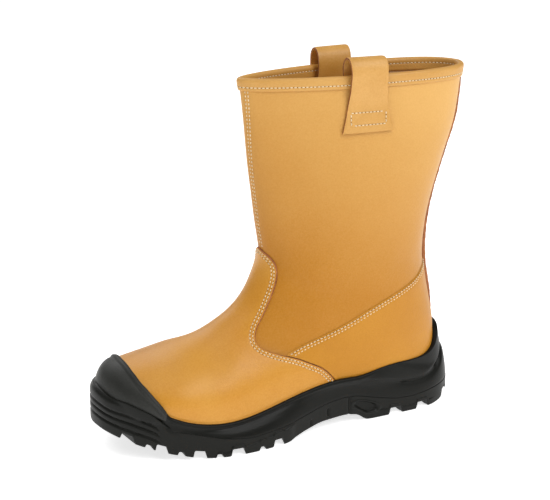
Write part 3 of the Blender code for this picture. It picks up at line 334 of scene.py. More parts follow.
# The lap seam down the front: how far to the outer side of the front edge its first row lies, by height.
SeamRow = namedtuple("SeamRow", "up off")
FRONT_SEAM = table(SeamRow, (
    (120.0, 1.6), (150.0, 1.8), (200.0, 2.8), (240.0, 4.2), (275.0, 5.2),
))

# The leg panels meet in a low ridge down the back: how far it stands out at each height, and its half width.
RidgeRow = namedtuple("RidgeRow", "up out")
RIDGE = table(RidgeRow, (
    (62.0, 0.0), (74.0, 2.4), (90.0, 3.4), (130.0, 3.2), (270.0, 2.1),
))
RIDGE_HALF = 18.0
RIDGE_POWER = 1.3
RIDGE_AHEAD = 80.0

# Soft folds of the leather, drawn in the side view: where each starts and stops, how wide and how deep it is,
# and how far past its ends it fades, as a share of its length.
FoldRow = namedtuple("FoldRow", "start_along start_up stop_along stop_up half_width depth")
FOLDS = table(FoldRow, (
    (214.0, 80.0, 236.0, 40.0, 11.0, 0.9), (238.0, 74.0, 262.0, 40.0, 10.0, -0.5),
    (196.0, 92.0, 205.0, 60.0, 9.0, -0.6), (150.0, 118.0, 110.0, 104.0, 9.0, 0.9),
    (150.0, 136.0, 108.0, 128.0, 10.0, -0.7), (60.0, 132.0, 34.0, 124.0, 10.0, 0.8),
    (150.0, 235.0, 140.0, 150.0, 16.0, 0.9), (50.0, 240.0, 62.0, 150.0, 18.0, 0.7),
))
FOLD_PAST = 0.4
FOLD_FADE = 0.6

# The vamp: its first section, where its edge is cut, its edge's roundness and raw part, the line pressed over
# the lip.
VAMP_TOP_ROW = 5
VAMP_CUTS = (0.0, 0.12, 0.3, 0.6, 0.9, 1.2)
VAMP_EDGE_RADIUS = 1.2
VAMP_RAW = 0.75
EDGE_START = 0.12
PRESSED_LINE = 2.2
PRESSED_DEPTH = 0.22

# The heel panels: first and last section, front end, gaps to the vamp and the welt, soft upper edge, and how
# the low part is evened out. Then where the seam meets the welt, beside the back's middle and over the seam's
# first row.
COUNTER_TOP_ROW = 6
COUNTER_LAST_ROW = 17
COUNTER_FRONT = 0.15
COUNTER_CUTS = (0.0, 0.5)
COUNTER_VAMP_GAP = 0.4
COUNTER_WELT_GAP = 0.1
COUNTER_SOFT = 2.4
HEEL_EVEN_UP = 66.0
HEEL_EVEN_FADE = 10.0
HEEL_EVEN_ROUNDS = 24
SEAM_BACK = 1.0
SEAM_BACK_RISE = 1.6

# The welt: how much further it stands out than its solid at each height, its section and its unevenness.
WELT_PROUD = table(RidgeRow, (
    (66.0, 0.0), (80.0, 1.0), (96.0, 1.8), (122.0, 1.8), (180.0, 0.9),
))
WeltRow = namedtuple("WeltRow", "across rise")
WELT_SHAPE = table(WeltRow, (
    (-1.0, 0.0), (-1.02, 0.45), (-0.96, 0.8), (-0.75, 0.98), (-0.4, 1.0), (-0.12, 0.94), (0.0, 0.72),
    (0.12, 0.94), (0.4, 1.0), (0.75, 0.98), (0.96, 0.8), (1.02, 0.45), (1.0, 0.0),
))
RippleRow = namedtuple("RippleRow", "size turn start")
WELT_RIPPLES = table(RippleRow, ((0.05, 0.9, 0.0), (0.04, 0.37, 1.0)))

# The collar's band: half of its section, from its lower edge to the top, and where its hidden face ends.
BandRow = namedtuple("BandRow", "down off")
BAND = table(BandRow, (
    (8.3, 0.35), (8.6, 0.75), (8.45, 1.2), (7.9, 1.45), (7.2, 1.52), (6.7, 1.54), (6.2, 1.55), (5.9, 1.56),
    (5.6, 1.57), (5.3, 1.57), (5.0, 1.58), (4.5, 1.58), (3.9, 1.6), (3.4, 1.6), (3.1, 1.6), (2.8, 1.6),
    (2.5, 1.6), (2.2, 1.6), (1.7, 1.59), (1.0, 1.55), (0.2, 1.42), (-0.6, 1.1), (-1.15, 0.5), (-1.45, -0.3),
    (-1.5, -1.1),
))
BAND_HIDDEN_LOW = 4.0
BAND_HIDDEN_HIGH = -0.3

# The straps' box of stitches, how far along the strap its outer part goes, and its thinner cut edges.
STRAP_BOX_LOW = 242.6
STRAP_BOX_HIGH = 252.2
STRAP_BOX_HALF = 14.6
STRAP_BOX_PAST = 0.5
STRAP_BOX_POINTS = 60
STRAP_SINK = 0.3
STRAP_SINK_HALF = 0.8
STRAP_OUTSIDE = 0.45
STRAP_EDGE = 1.6
STRAP_EDGE_FAR = 0.16
STRAP_EDGE_NEAR = 0.12

# The toe's bumper: how far its top lies under the solid's, at its ends and at the toe, and its soft ridge.
BUMPER_LOWER = 1.4
BUMPER_LOWER_TOE = 2.6
BUMPER_TOE = 288.0
BUMPER_TOE_RAMP = 12.0
BUMPER_SOFT = 1.3
BUMPER_SOFT_HALF = 2.4
BUMPER_THIN = 0.25
BUMPER_ROUND = 8.0
BUMPER_ROUND_FROM = 9.0
BUMPER_OUT_HIGH = 1.0
BUMPER_OUT_LOW = 0.6
BUMPER_LEDGE = 2.0

# From how far outside the sole's outline the covered foot is looked for, and its reach where none is met.
FOOT_LOOK = 30.0
NO_FOOT = -8.0

# The rand's side, as shares of the way up to the rand line and insets, and its wall above, to the lip or cap.
WALL_STEPS = 36
WALL_CROWDING = 1.7
WALL_FOOT = 0.8
WALL_SMOOTHING = 4.0
WALL_CENTRE_FROM = 40.0
WALL_CENTRE_TO = 250.0
WALL_CENTRE_UP = 34.0
WALL_UPWARD = 0.5
SideRow = namedtuple("SideRow", "share inset")
RAND_SIDE = table(SideRow, (
    (0.0, 0.4), (0.05, 0.15), (0.15, 0.1), (0.35, 0.15), (0.6, 0.45), (0.8, 0.9), (0.92, 1.35),
))
RAND_SIDE_LOW = 0.1
RAND_SIDE_HIGH = 1.1
RAND_TOP_INSET = 1.5
RAND_TOP_DOWN = 0.6
RAND_HIDE = 1.5
RAND_HIDE_SIDE = 1.0
RAND_HIDE_TOP = 0.4
RAND_COVER = 1.15
RAND_SMOOTHING = 25
SMOOTHING_SHARE = 0.5
SMOOTHING_REACH = 3.0
RAND_EVEN = 2.5
RAND_FIRST_EVEN = 3
CUP_GROOVE = 1.1
CUP_THIN = 0.62
CUP_THIN_BACK = 0.75
CUP_STEP = 0.45
CUP_STEP_HALF = 0.12
CUP_SMOOTHING = 40
FIN_SPREAD = 48.0
LIP_BEAD = 0.7
LIP_BEAD_DOWN = 1.5
LIP_BEAD_HALF = 1.2
RollRow = namedtuple("RollRow", "over share")
LIP_ROLL = table(RollRow, ((0.35, 0.86), (0.6, 0.62), (0.7, 0.3), (0.5, -0.1), (0.0, -0.9)))
CAP_LINE = 0.5
CAP_LINE_DOWN = 4.2
CAP_LINE_HALF = 0.8
# Where the scuff cap's painted sheen starts past its foot: its faces take a lighter copy of the rand's
# rubber.
CAP_PAINTED_SHEEN_FROM = 2.0

# The tread's grooves where they fade, and small notches between the lugs.
FLANK_START = 0.35
GROOVE_END = 1.6
DIMPLES = (276.0, 253.5, 225.0, 190.0)
DIMPLE_DEPTH = 3.0
DIMPLE_HALF = 2.4
DIMPLE_SLOPE = 1.4
DIMPLE_LENGTH = 9.0
DIMPLE_END = 3.0
SLOT_START = 0.4
SLOT_SIDE = 0.8
SLOT_END = 1.2

# The tread's side wall: its steps, the bumper's ribs as shares of its height, and its rings above and below.
TREAD_STEPS = 46
TREAD_FIRST_DOWN = 0.6
TREAD_LAST_UP = 1.9
TREAD_INSET = 0.05
TREAD_RAISED_FROM = 0.55
TREAD_SMOOTHING = 3.0
RIB_LINES = (0.68, 0.5, 0.31)
RIB_HALF = 0.03
RIB_DEPTH = 1.0
RIB_FROM = 267.0
RIB_RAMP = 5.0
CAP_COVER = 3.5
CAP_COVER_UP = 6.0
TopRow = namedtuple("TopRow", "inset down")
LEDGE = TopRow(1.2, 0.15)
TOP_ROUND = table(TopRow, ((0.4, 0.02), (0.14, 0.2)))
LugRow = namedtuple("LugRow", "inset up")
LUG_ROUND = table(LugRow, ((0.3, 0.45), (0.9, 0.08)))
UNDER_INSET = 1.5
UNDER_LINES = 40
SPINE_FROM = 20.0
SPINE_TO = 284.0

# Shapes in the tread's side wall: an oval, upright bars, a wave line under the forefoot and a heel step.
OVAL_ALONG = 91.5
OVAL_HALF = 11.5
OVAL_MIDDLE = 0.55
OVAL_RISE = 0.24
OVAL_DEPTH = 1.7
OVAL_EDGE = 0.25
OVAL_RIM = 0.45
OVAL_RIM_AT = 1.15
OVAL_RIM_HALF = 0.13
BarRow = namedtuple("BarRow", "along low high half depth")
BARS = table(BarRow, (
    (106.8, 0.05, 1.2, 1.1, 1.4), (127.0, 0.2, 0.7, 1.0, 1.2), (144.0, 0.15, 0.5, 1.0, 1.0),
))
BAR_END = 0.1
WaveRow = namedtuple("WaveRow", "along share")
WAVE = table(WaveRow, (
    (160.0, 0.9), (178.0, 0.74), (196.0, 0.62), (216.0, 0.3), (232.0, 0.0),
))
WAVE_OUT = 0.9
WAVE_SLOPE = 1.0
WAVE_FROM = 158.0
WAVE_FROM_RAMP = 8.0
WAVE_TO = 233.0
WAVE_TO_RAMP = 6.0
STEP_OUT = 0.5
STEP_SHARE = 0.42
STEP_SLOPE = 0.08
STEP_FROM = 20.0
STEP_FROM_RAMP = 10.0
STEP_TO = 84.0
STEP_TO_RAMP = 4.0

# The footbed: its inset along the boot, its soft edge, its rings and the middle line that they close on.
InsetRow = namedtuple("InsetRow", "along inset")
FOOTBED_END = INSOLE_INSET + WALL
FOOTBED_INSET = table(InsetRow, (
    (8.0, FOOTBED_END), (30.0, FOOTBED_END), (50.0, INSOLE_INSET), (225.0, INSOLE_INSET),
    (250.0, FOOTBED_END),
))
FootbedRow = namedtuple("FootbedRow", "pull down")
FOOTBED_EDGE = table(FootbedRow, ((0.0, 1.4), (0.25, 0.6), (0.8, 0.1), (1.6, 0.0)))
FOOTBED_BASE = 0.1
FOOTBED_RINGS = 10
FOOTBED_FIRST = 0.1
FOOTBED_FROM = 40.0
FOOTBED_TO = 270.0

# Linear colours and shaders: each finish runs between a darker and a lighter tone. Patch and grain are noise
# scales; grain_depth is in metres; speckle is how far fine dots move a tone towards either of the two.
FinishRow = namedtuple(
    "FinishRow", "dark light roughness patch grain grain_depth coat sheen shine fade speckle",
    defaults=(14.0, 950.0, 0.00020, 0.0, 0.0, 0.5, 0.0, 0.22),
)
FINISHES = {
    # The leg's leather carries painted shade and light: darker low and to the front, lighter high and at the
    # back.
    "tan_leather": FinishRow(
        (0.485, 0.190, 0.0090), (0.745, 0.430, 0.130), 0.48, coat=0.03, shine=0.26, fade=0.85, speckle=0.06),
    "vamp_leather": FinishRow(
        (0.570, 0.232, 0.0115), (0.665, 0.315, 0.042), 0.42, patch=18.0, coat=0.14, shine=0.34),
    "counter_leather": FinishRow(
        (0.520, 0.212, 0.0115), (0.590, 0.262, 0.024), 0.48, patch=18.0, coat=0.03, shine=0.26),
    "binding_leather": FinishRow((0.590, 0.295, 0.060), (0.650, 0.350, 0.085), 0.48, patch=30.0),
    "strap_leather": FinishRow((0.585, 0.288, 0.052), (0.690, 0.375, 0.100), 0.48, patch=26.0, coat=0.05),
    "raw_leather_edge": FinishRow(
        (0.210, 0.062, 0.016), (0.450, 0.170, 0.055), 0.85, patch=120.0, grain=700.0, grain_depth=0.00025),
    "lining_leather": FinishRow((0.640, 0.385, 0.170), (0.780, 0.520, 0.270), 0.80, patch=24.0, sheen=0.15),
    "thread": FinishRow((0.74, 0.58, 0.34), (0.86, 0.73, 0.5), 0.70, patch=160.0, grain=2500.0),
    # Painted shade: the needle holes' darkness, put on small discs over the leather.
    "needle_hole_painted_shade": FinishRow((0.100, 0.042, 0.014), (0.160, 0.070, 0.025), 0.9, patch=160.0),
    "tread_rubber": FinishRow(
        (0.0065, 0.0068, 0.0052), (0.01, 0.0104, 0.0084), 0.42, 40.0, 1500.0, 0.00006, shine=0.16),
    "rand_rubber": FinishRow(
        (0.0066, 0.0070, 0.0056), (0.0098, 0.0102, 0.0085), 0.38, 30.0, 1500.0, 0.00008, shine=0.13),
    # Painted sheen: the scuff cap is the rand's own rubber, made lighter here to stand in for its sheen.
    "cap_rubber_painted_sheen": FinishRow(
        (0.0220, 0.0226, 0.0196), (0.0310, 0.0316, 0.0280), 0.46, 60.0, 1500.0, 0.00010, shine=0.22),
    "insole_board": FinishRow((0.240, 0.150, 0.075), (0.330, 0.220, 0.120), 0.90, 60.0, 1100.0, 0.0003),
}

# The finishes' noise: how fine its patches, dots and pores are, which part of its range makes a whole tone, a
# whole dot or the whole spread of roughness, and the sockets of a node that mixes colours.
PATCH_DETAIL = 4.0
PATCH_ROUGHNESS = 0.55
PATCH_RANGE = (0.25, 0.75)
SPECK_SCALE = 0.8
SPECK_DETAIL = 2.0
SPECK_RANGE = (0.3, 0.7)
PORE_SCALE = 0.55
PORE_DETAIL = 3.0
WORN_RANGE = (0.3, 0.7)
MIX_DARK = 6
MIX_LIGHT = 7
MIX_COLOUR = 2
GRAIN_STRENGTH = 0.6
ROUGHNESS_SPREAD = 0.05
COAT_ROUGHNESS = 0.35

# Painted shade and light: where the leather's tone starts and stops going from dark to light, in metres of
# height less a share of the way to the toe, so that it is darker low and to the front.
PAINTED_SHADE_LEAN = -0.5
PAINTED_SHADE_LOW = 0.08
PAINTED_SHADE_HIGH = 0.285

# The studio, in metres: a white floor that fills the picture, an even bright surround, three soft lights.
WHITE = (1.0, 1.0, 1.0, 1.0)
FLOOR_WHITE = (0.930, 0.930, 0.930, 1.0)
FLOOR_SIZE = 60.0
FLOOR_ROUGHNESS = 0.9
FLOOR_GLOW = 0.72
WORLD_LIGHT = 0.28
CAMERA_TURN = math.radians(25.25)
CAMERA_RISE = math.radians(17.547)
CAMERA_DISTANCE = 1.06638
CAMERA_TARGET = Vector((0.10818, 0.0, 0.14095))
CAMERA_LENS = 88.71
CAMERA_SENSOR = 36.0
LIGHT_TARGET = Vector((0.10, 0.0, 0.12))
LightRow = namedtuple("LightRow", "name x y z size watts")
LIGHTS = table(LightRow, (
    ("key", -0.9, 1.7, 1.9, 1.3, 34.0), ("top", 0.9, 0.2, 2.2, 2.0, 16.0),
    ("rim", 0.3, -1.6, 1.3, 1.3, 12.0),
))


def spline(knots, values, at):
    """The natural cubic spline through a table: a row of values for each knot, read at any places."""
    knots = np.asarray(knots, float)
    values = np.asarray(values, float)
    if values.ndim == 1:
        return spline(knots, values[:, None], at)[..., 0]
    count = len(knots)
    step = np.diff(knots)[:, None]
    slope = np.diff(values, axis=0) / step
    system = np.eye(count)
    right = np.zeros_like(values)
    for i in range(1, count - 1):
        system[i, i - 1] = step[i - 1, 0]
        system[i, i] = 2.0 * (step[i - 1, 0] + step[i, 0])
        system[i, i + 1] = step[i, 0]
        right[i] = 6.0 * (slope[i] - slope[i - 1])
    bend = np.linalg.solve(system, right)
    at = np.asarray(at, float)
    i = np.clip(np.searchsorted(knots, at, side="right") - 1, 0, count - 2)
    d = (at - knots[i])[..., None]
    h = step[i]
    tangent = slope[i] - h * (2.0 * bend[i] + bend[i + 1]) / 6.0
    return values[i] + d * (tangent + d * (bend[i] / 2.0 + d * (bend[i + 1] - bend[i]) / (6.0 * h)))


def read(rows, at):
    """A table of two columns read at any places, by straight lines."""
    knots, values = np.array(rows).T
    return np.interp(at, knots, values)


def height(rows, along):
    """A height table read at a place along the boot, by straight lines rounded over a short way."""
    return sum(read(rows, np.asarray(along) + d) for d in HEIGHT_SPREAD) / len(HEIGHT_SPREAD)


def smooth_height(rows, along):
    """A height table read at a place along the boot, as a smooth curve."""
    return spline(*np.array(rows).T, along)


def bezier(a, b, c, d, q):
    """A cubic curve from a to d, drawn towards b and c on its way."""
    p = 1.0 - q
    return p**3 * a + 3.0 * p * p * q * b + 3.0 * p * q * q * c + q**3 * d


def unit(vectors):
    """Vectors made one long."""
    return vectors / np.linalg.norm(vectors, axis=-1, keepdims=True)


def way_along(points):
    """How far along a row of points each of them lies."""
    return np.concatenate([[0.0], np.cumsum(np.linalg.norm(np.diff(points, axis=0), axis=1))])


# The sections as one table with a knot for each, spaced by how far apart neighbouring sections lie.
ROWS = np.array(
    [[r.front_along, r.front_up, 0.0, r.back_along, r.back_up, *r[4:]] for r in LEG]
    + [[r.ridge_along, r.ridge_up, r.ridge_across, r.edge_along, 0.0, *r[4:]] for r in FOOT]
)
HEEL_ROW = len(LEG) - 1
ROWS[HEEL_ROW + 1 :, 4] = smooth_height(LEATHER_BOTTOM, ROWS[HEEL_ROW + 1 :, 3])
FRONT_STEP = np.hypot(np.diff(ROWS[:, 0]), np.diff(ROWS[:, 1]))
END_STEP = np.hypot(np.diff(ROWS[:, 3]), np.diff(ROWS[:, 4]))
KNOTS = np.concatenate([[0.0], np.cumsum(FRONT_STEP + END_STEP)])
KNOTS = KNOTS / KNOTS[-1]
HEEL_KNOT = KNOTS[HEEL_ROW]


def edge_half_width(along, lateral):
    """Half-width of the leather's bottom edge, read so that the heel's arc stays round."""
    knots = np.array([row.along for row in LEATHER_EDGE])
    widths = np.array([row.lateral if lateral else row.medial for row in LEATHER_EDGE])
    arc = np.clip(np.asarray(along, float) - knots[0], 0.0, None)
    return spline(np.sqrt(knots - knots[0]), widths, np.sqrt(arc))


def upper_points(s, t):
    """The leather wall's outer face in millimetres: s from the collar to the toe, t from -1 to 1 around."""
    s, t = np.broadcast_arrays(np.asarray(s, float), np.asarray(t, float))
    row = spline(KNOTS, ROWS, s)
    along, up, across, end_along, end_up, lateral, medial, widest, crown, tail = np.moveaxis(row, -1, 0)
    end_along = np.where(s > HEEL_KNOT, np.maximum(end_along, LEATHER_BOTTOM[0].along), end_along)
    end_up = np.where(s > HEEL_KNOT, smooth_height(LEATHER_BOTTOM, end_along), end_up)
    side = np.where(t < 0.0, -1.0, 1.0)
    width = np.where(t < 0.0, medial, lateral)
    ridge = across * side
    open_edge = np.where(t < 0.0, edge_half_width(end_along, False), edge_half_width(end_along, True))
    edge = np.where(s > HEEL_KNOT, open_edge, 0.0)
    q = np.abs(t)
    first = np.clip(q * 2.0, 0.0, 1.0)
    second = np.clip(q * 2.0 - 1.0, 0.0, 1.0)
    u_first = bezier(0.0, 0.0, widest * (1.0 - ROUND), widest, first)
    v_first = bezier(ridge, ridge + crown * (width - ridge), width, width, first)
    u_second = bezier(widest, widest + (1.0 - widest) * ROUND, 1.0, 1.0, second)
    v_second = bezier(width, width, edge + tail * (width - edge), edge, second)
    u = np.where(q < 0.5, u_first, u_second)
    v = np.where(q < 0.5, v_first, v_second) * side
    return np.stack([along + u * (end_along - along), v, up + u * (end_up - up)], axis=-1)


def upper_normals(s, t):
    """Unit vectors out of the leather wall's outer face."""
    s, t = np.broadcast_arrays(np.asarray(s, float), np.asarray(t, float))
    step = NORMAL_STEP
    down = upper_points(np.clip(s + step, 0, 1), t) - upper_points(np.clip(s - step, 0, 1), t)
    around = upper_points(s, np.clip(t + step, -1, 1)) - upper_points(s, np.clip(t - step, -1, 1))
    return unit(np.cross(down, around))


def upper_offset(s, t, distance):
    """Points at a distance from the leather wall's outer face."""
    distance = np.asarray(distance, float)
    return upper_points(s, t) + upper_normals(s, t) * distance[..., None]


def skin(s):
    """How far the overlays stand out over the wall: the counter at the heel, the vamp from the waist on."""
    start, stop = KNOTS[HEEL_ROW + 1 : HEEL_ROW + 3]
    blend = np.clip((np.asarray(s) - start) / (stop - start), 0, 1)
    return GAP + COUNTER_LEATHER + blend * (VAMP_LEATHER - COUNTER_LEATHER)


def place(points):
    """Table millimetres to metres from the boot's origin."""
    points = np.asarray(points, float)
    return (points - np.array([HEEL_MIDDLE, 0.0, 0.0])) * MM


def grid_faces(rows, columns, first=0, wrap=False):
    """Quads between neighbouring rows of points, each row holding the same number of columns."""
    faces = []
    for i in range(rows - 1):
        for j in range(columns if wrap else columns - 1):
            k = (j + 1) % columns
            a, b = first + i * columns, first + (i + 1) * columns
            faces.append((a + j, a + k, b + k, b + j))
    return faces


def smooth_step(x):
    """0 up to x = 0 and 1 from x = 1, with a smooth way between."""
    x = np.clip(x, 0.0, 1.0)
    return x * x * (3.0 - 2.0 * x)


def half_step(x, over):
    """A smooth step that is half done where x is 0."""
    return smooth_step(x / over + 0.5)


def bell(x):
    """1 at x = 0, with a smooth fall to nothing on both sides."""
    return np.exp(-np.square(x))


def tree(points):
    """A surface of rows of points, made ready for rays."""
    rows, columns = points.shape[:2]
    return BVHTree.FromPolygons([Vector(p) for p in points.reshape(-1, 3)], grid_faces(rows, columns))


# The leather wall's outer face and its overlays' face for the rays, and how far s runs for a millimetre down
# from the collar.
FINE_S, FINE_T = np.meshgrid(
    np.linspace(0.0, 1.0, SEARCH_LINES), np.linspace(-1.0, 1.0, SEARCH_COLUMNS), indexing="ij")
LEG_TREE = tree(upper_points(FINE_S, FINE_T))
SKIN_TREE = tree(upper_offset(FINE_S, FINE_T, skin(FINE_S)))
S_PER_MM = KNOTS[1] / np.ptp(upper_points([0.0, KNOTS[1]], [0.5, 0.5])[:, 2])


def ray(search, origin, direction):
    """Where a ray meets a surface and the unit vector there, or nothing."""
    found, normal, _, _ = search.ray_cast(Vector(origin), Vector(direction).normalized())
    return (np.array(found), np.array(normal)) if found is not None else None


def folds(points):
    """How far the soft folds push the leather in, at points of its outer face."""
    depth = np.zeros(points.shape[:-1])
    for row in FOLDS:
        start = np.array([row.start_along, row.start_up])
        way = np.array([row.stop_along, row.stop_up]) - start
        length = np.linalg.norm(way)
        off = points[..., [0, 2]] - start
        along = off @ way / length
        away = (off[..., 0] * way[1] - off[..., 1] * way[0]) / length
        ends = smooth_step((along + FOLD_PAST * length) / (FOLD_FADE * length))
        ends = ends * smooth_step(((1.0 + FOLD_PAST) * length - along) / (FOLD_FADE * length))
        depth += row.depth * bell(away / row.half_width) * ends
    return depth


def back_ridge(points):
    """How far the back of the leg is drawn out into its seam."""
    near = np.clip(1.0 - np.abs(points[..., 1]) / RIDGE_HALF, 0.0, 1.0)
    return read(RIDGE, points[..., 2]) * near**RIDGE_POWER * (points[..., 0] < RIDGE_AHEAD)


def leather(s, t, lift):
    """Points of the leather with its folds, at a distance from the wall's outer face."""
    points = upper_points(s, t)
    made = points + upper_normals(s, t) * (np.asarray(lift) - folds(points))[..., None]
    made[..., 0] -= back_ridge(points)
    return made


def add_piece(name, points, faces, finishes, indices=None, replaced=(), sharp=None):
    """One mesh piece in millimetres that moves with the boot; it may stand for nodes of the solids."""
    mesh = bpy.data.meshes.new(name)
    mesh.from_pydata(place(points).tolist(), [], [tuple(face) for face in faces])
    for finish in finishes:
        mesh.materials.append(finish)
    if indices is not None:
        mesh.polygons.foreach_set("material_index", np.asarray(indices, np.int32))
    mesh.shade_smooth()
    if sharp is not None:
        mesh.set_sharp_from_angle(angle=math.radians(sharp))
    made = bpy.data.objects.new(name, mesh)
    bpy.context.scene.collection.objects.link(made)
    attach(made, "root")
    if replaced:
        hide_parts(*replaced)
    return made


# Nets of sections and columns that can be cut along lines.
Net = namedtuple("Net", "s t faces fields")


def make_net(s_lines, t_lines):
    """Places and triangles of a net that has no fields yet."""
    s, t = np.meshgrid(s_lines, t_lines, indexing="ij")
    quads = np.array(grid_faces(len(s_lines), len(t_lines)))
    faces = np.concatenate([quads[:, [0, 1, 2]], quads[:, [0, 2, 3]]])
    return s.ravel(), t.ravel(), faces


def cut(net, key, level):
    """The net with every triangle split where one of its fields passes a level."""
    f = net.fields[key] - level
    f = np.where(np.abs(f) < SNAP, SNAP, f)
    above = f > 0.0
    count = above[net.faces].sum(axis=1)
    mixed = (count == 1) | (count == 2)
    work = net.faces[mixed]
    lone = (above[work] == (count[mixed] == 1)[:, None]).argmax(axis=1)
    rows = np.arange(len(work))
    p, q, r = (work[rows, (lone + k) % 3] for k in range(3))
    pairs = np.sort(np.concatenate([np.stack([p, q], 1), np.stack([p, r], 1)]), axis=1)
    ends, index = np.unique(pairs, axis=0, return_inverse=True)
    i, j = ends.T
    w = f[i] / (f[i] - f[j])
    index = len(net.s) + index.reshape(-1)
    pq, pr = index[: len(work)], index[len(work):]
    made = [np.stack([p, pq, pr], 1), np.stack([pq, q, r], 1), np.stack([pq, r, pr], 1)]

    def more(values):
        return np.append(values, values[i] + w * (values[j] - values[i]))

    fields = {name: more(values) for name, values in net.fields.items()}
    return Net(more(net.s), more(net.t), np.concatenate([net.faces[~mixed], *made]), fields)


def kept(net, inside):
    """The part of a net whose triangles lie inside, with its own numbering."""
    faces = net.faces[inside(net, net.faces)]
    used, index = np.unique(faces, return_inverse=True)
    fields = {name: values[used] for name, values in net.fields.items()}
    return Net(net.s[used], net.t[used], index.reshape(-1, 3), fields)


def middle(net, faces, key):
    """A field's value in the middle of each triangle."""
    return net.fields[key][faces].mean(axis=1)


def edge_ends(faces):
    """The directed edges of all triangles."""
    return np.concatenate([faces[:, [0, 1]], faces[:, [1, 2]], faces[:, [2, 0]]])


def open_edges(faces):
    """The directed edges that only one triangle uses."""
    ends = edge_ends(faces)
    _, index, count = np.unique(np.sort(ends, axis=1), axis=0, return_inverse=True, return_counts=True)
    return ends[count[index.reshape(-1)] == 1]


# Lines on the leather, as points with the unit vector out of the leather at each.
Line = namedtuple("Line", "points normals")


def curve_through(rows, count):
    """A smooth curve through a table of points, cut into evenly spaced ones."""
    points = np.array(rows, float)
    way = way_along(points)
    return spline(way, points, np.linspace(0.0, way[-1], count))


def settle(points):
    """Points moved onto the leather's outer face, with the unit vectors out of it."""
    found = [LEG_TREE.find_nearest(Vector(p)) for p in points]
    places = np.array([f[0] for f in found])
    normals = np.array([f[1] for f in found])
    in_leg = places * (0.0, 0.0, 1.0) + (LEG_MIDDLE, 0.0, 0.0)
    centre = np.where(places[:, 2:] > LEG_FROM_UP, in_leg, FOOT_MIDDLE)
    normals[np.sum(normals * (places - centre), axis=1) < 0.0] *= -1.0
    return Line(places, normals)


def even(line):
    """A line cut again into steps of one length."""
    count = max(int(way_along(line.points)[-1] / LINE_STEP), 2)
    return settle(curve_through(line.points, count))


def side_line(rows, side):
    """A table's curve in the side view, carried onto one side of the leather where it meets it."""
    met = [ray(LEG_TREE, (x, side * FAR, z), (0.0, -side, 0.0)) for x, z in curve_through(rows, SIDE_POINTS)]
    return [found[0] for found in met if found is not None]


def thin(points, gap):
    """Points at least a gap apart, the first and last kept."""
    picked = [points[0]]
    for p in points[1:-1]:
        if np.linalg.norm(p - picked[-1]) > gap and np.linalg.norm(p - points[-1]) > gap:
            picked.append(p)
    return np.array(picked + [points[-1]])


def vamp_line():
    """The vamp's whole cut edge, from the medial bottom over the front of the leg to the lateral bottom."""
    front_s = np.linspace(0.0, HEEL_KNOT, SECTION_POINTS)
    front = upper_points(front_s, np.zeros_like(front_s))
    limit = VAMP_EDGE[1].up
    top = front[np.argmin(np.abs(front[:, 2] - limit - VAMP_TOP_RISE))]
    lateral, medial = ([p for p in side_line(VAMP_EDGE, side) if p[2] < limit] for side in (1.0, -1.0))
    return even(settle(thin(medial[::-1] + [top] + lateral, LINE_GAP)))


def seam_line(side):
    """The counter's seam on one side, running so that the counter lies to its right."""
    points = side_line(COUNTER_SEAM, side)
    back_up = COUNTER_SEAM[0].up + SEAM_BACK_RISE
    points.insert(0, ray(LEG_TREE, (-FAR, side * SEAM_BACK, back_up), (1.0, 0.0, 0.0))[0])
    return even(settle(thin(points[::-1] if side > 0.0 else points, LINE_GAP)))


def across_line(line):
    """Unit vectors in the leather's face, at right angles to a line and towards its right."""
    return unit(np.cross(np.gradient(line.points, axis=0), line.normals))


def distance_to(points, line):
    """Signed distance from points to a line on the leather, positive on its right."""
    right = across_line(line)
    result = np.empty(len(points))
    for first in range(0, len(points), BLOCK):
        block = points[first : first + BLOCK]
        gaps = ((block[:, None, :] - line.points[None]) ** 2).sum(axis=2)
        near = gaps.argmin(axis=1)
        best = np.full(len(block), np.inf)
        for step in (-1, 0):
            a = line.points[np.clip(near + step, 0, len(line.points) - 2)]
            b = line.points[np.clip(near + step + 1, 1, len(line.points) - 1)]
            w = np.clip(((block - a) * (b - a)).sum(1) / ((b - a) ** 2).sum(1), 0.0, 1.0)
            best = np.minimum(best, np.linalg.norm(block - a - w[:, None] * (b - a), axis=1))
        side = np.sign(((block - line.points[near]) * right[near]).sum(axis=1))
        result[first : first + BLOCK] = best * np.where(side == 0.0, 1.0, side)
    return result


def beside(line, distance):
    """A line at a distance to the right of another, on the leather."""
    return even(settle(line.points + across_line(line) * distance))


def row_troughs(distance, rows):
    """How deep the leather sinks under its stitch rows, at distances from an edge."""
    return sum(ROW_DEPTH * bell((distance - row) / ROW_HALF) for row in rows)


def row_levels(rows):
    """Distances from an edge at which the leather is cut for its stitch rows."""
    return [row + k * ROW_HALF for row in rows for k in ROW_CUTS]


VAMP_LINE = vamp_line()
SEAM_LINES = {1.0: seam_line(1.0), -1.0: seam_line(-1.0)}


def rounded_edge(distance, thickness, radius):
    """How much of its thickness a cut sheet of leather has at a distance from its edge."""
    x = np.clip(distance / radius, 0.0, 1.0)
    return thickness * (EDGE_START + (1.0 - EDGE_START) * np.sqrt(np.clip(1.0 - (1.0 - x) ** 2, 0.0, 1.0)))


def even_heel(points, faces):
    """Points of a sheet with its low part evened out, its edges kept."""
    ends = np.unique(np.sort(edge_ends(faces), axis=1), axis=0)
    first, second = ends.T
    count = np.bincount(ends.ravel(), minlength=len(points))
    weight = smooth_step((HEEL_EVEN_UP - points[:, 2]) / HEEL_EVEN_FADE)
    weight[np.unique(open_edges(faces))] = 0.0
    for _ in range(HEEL_EVEN_ROUNDS):
        total = np.zeros_like(points)
        np.add.at(total, first, points[second])
        np.add.at(total, second, points[first])
        points = points + weight[:, None] * (total / count[:, None] - points)
    return points


def shell_faces(faces, rim, size):
    """Faces of an outer sheet, of an inner one that is numbered on from it, and of the walls along a rim."""
    walls = np.column_stack([rim[:, 1], rim[:, 0], rim[:, 0] + size, rim[:, 1] + size])
    return faces.tolist() + (faces[:, ::-1] + size).tolist() + walls.tolist()


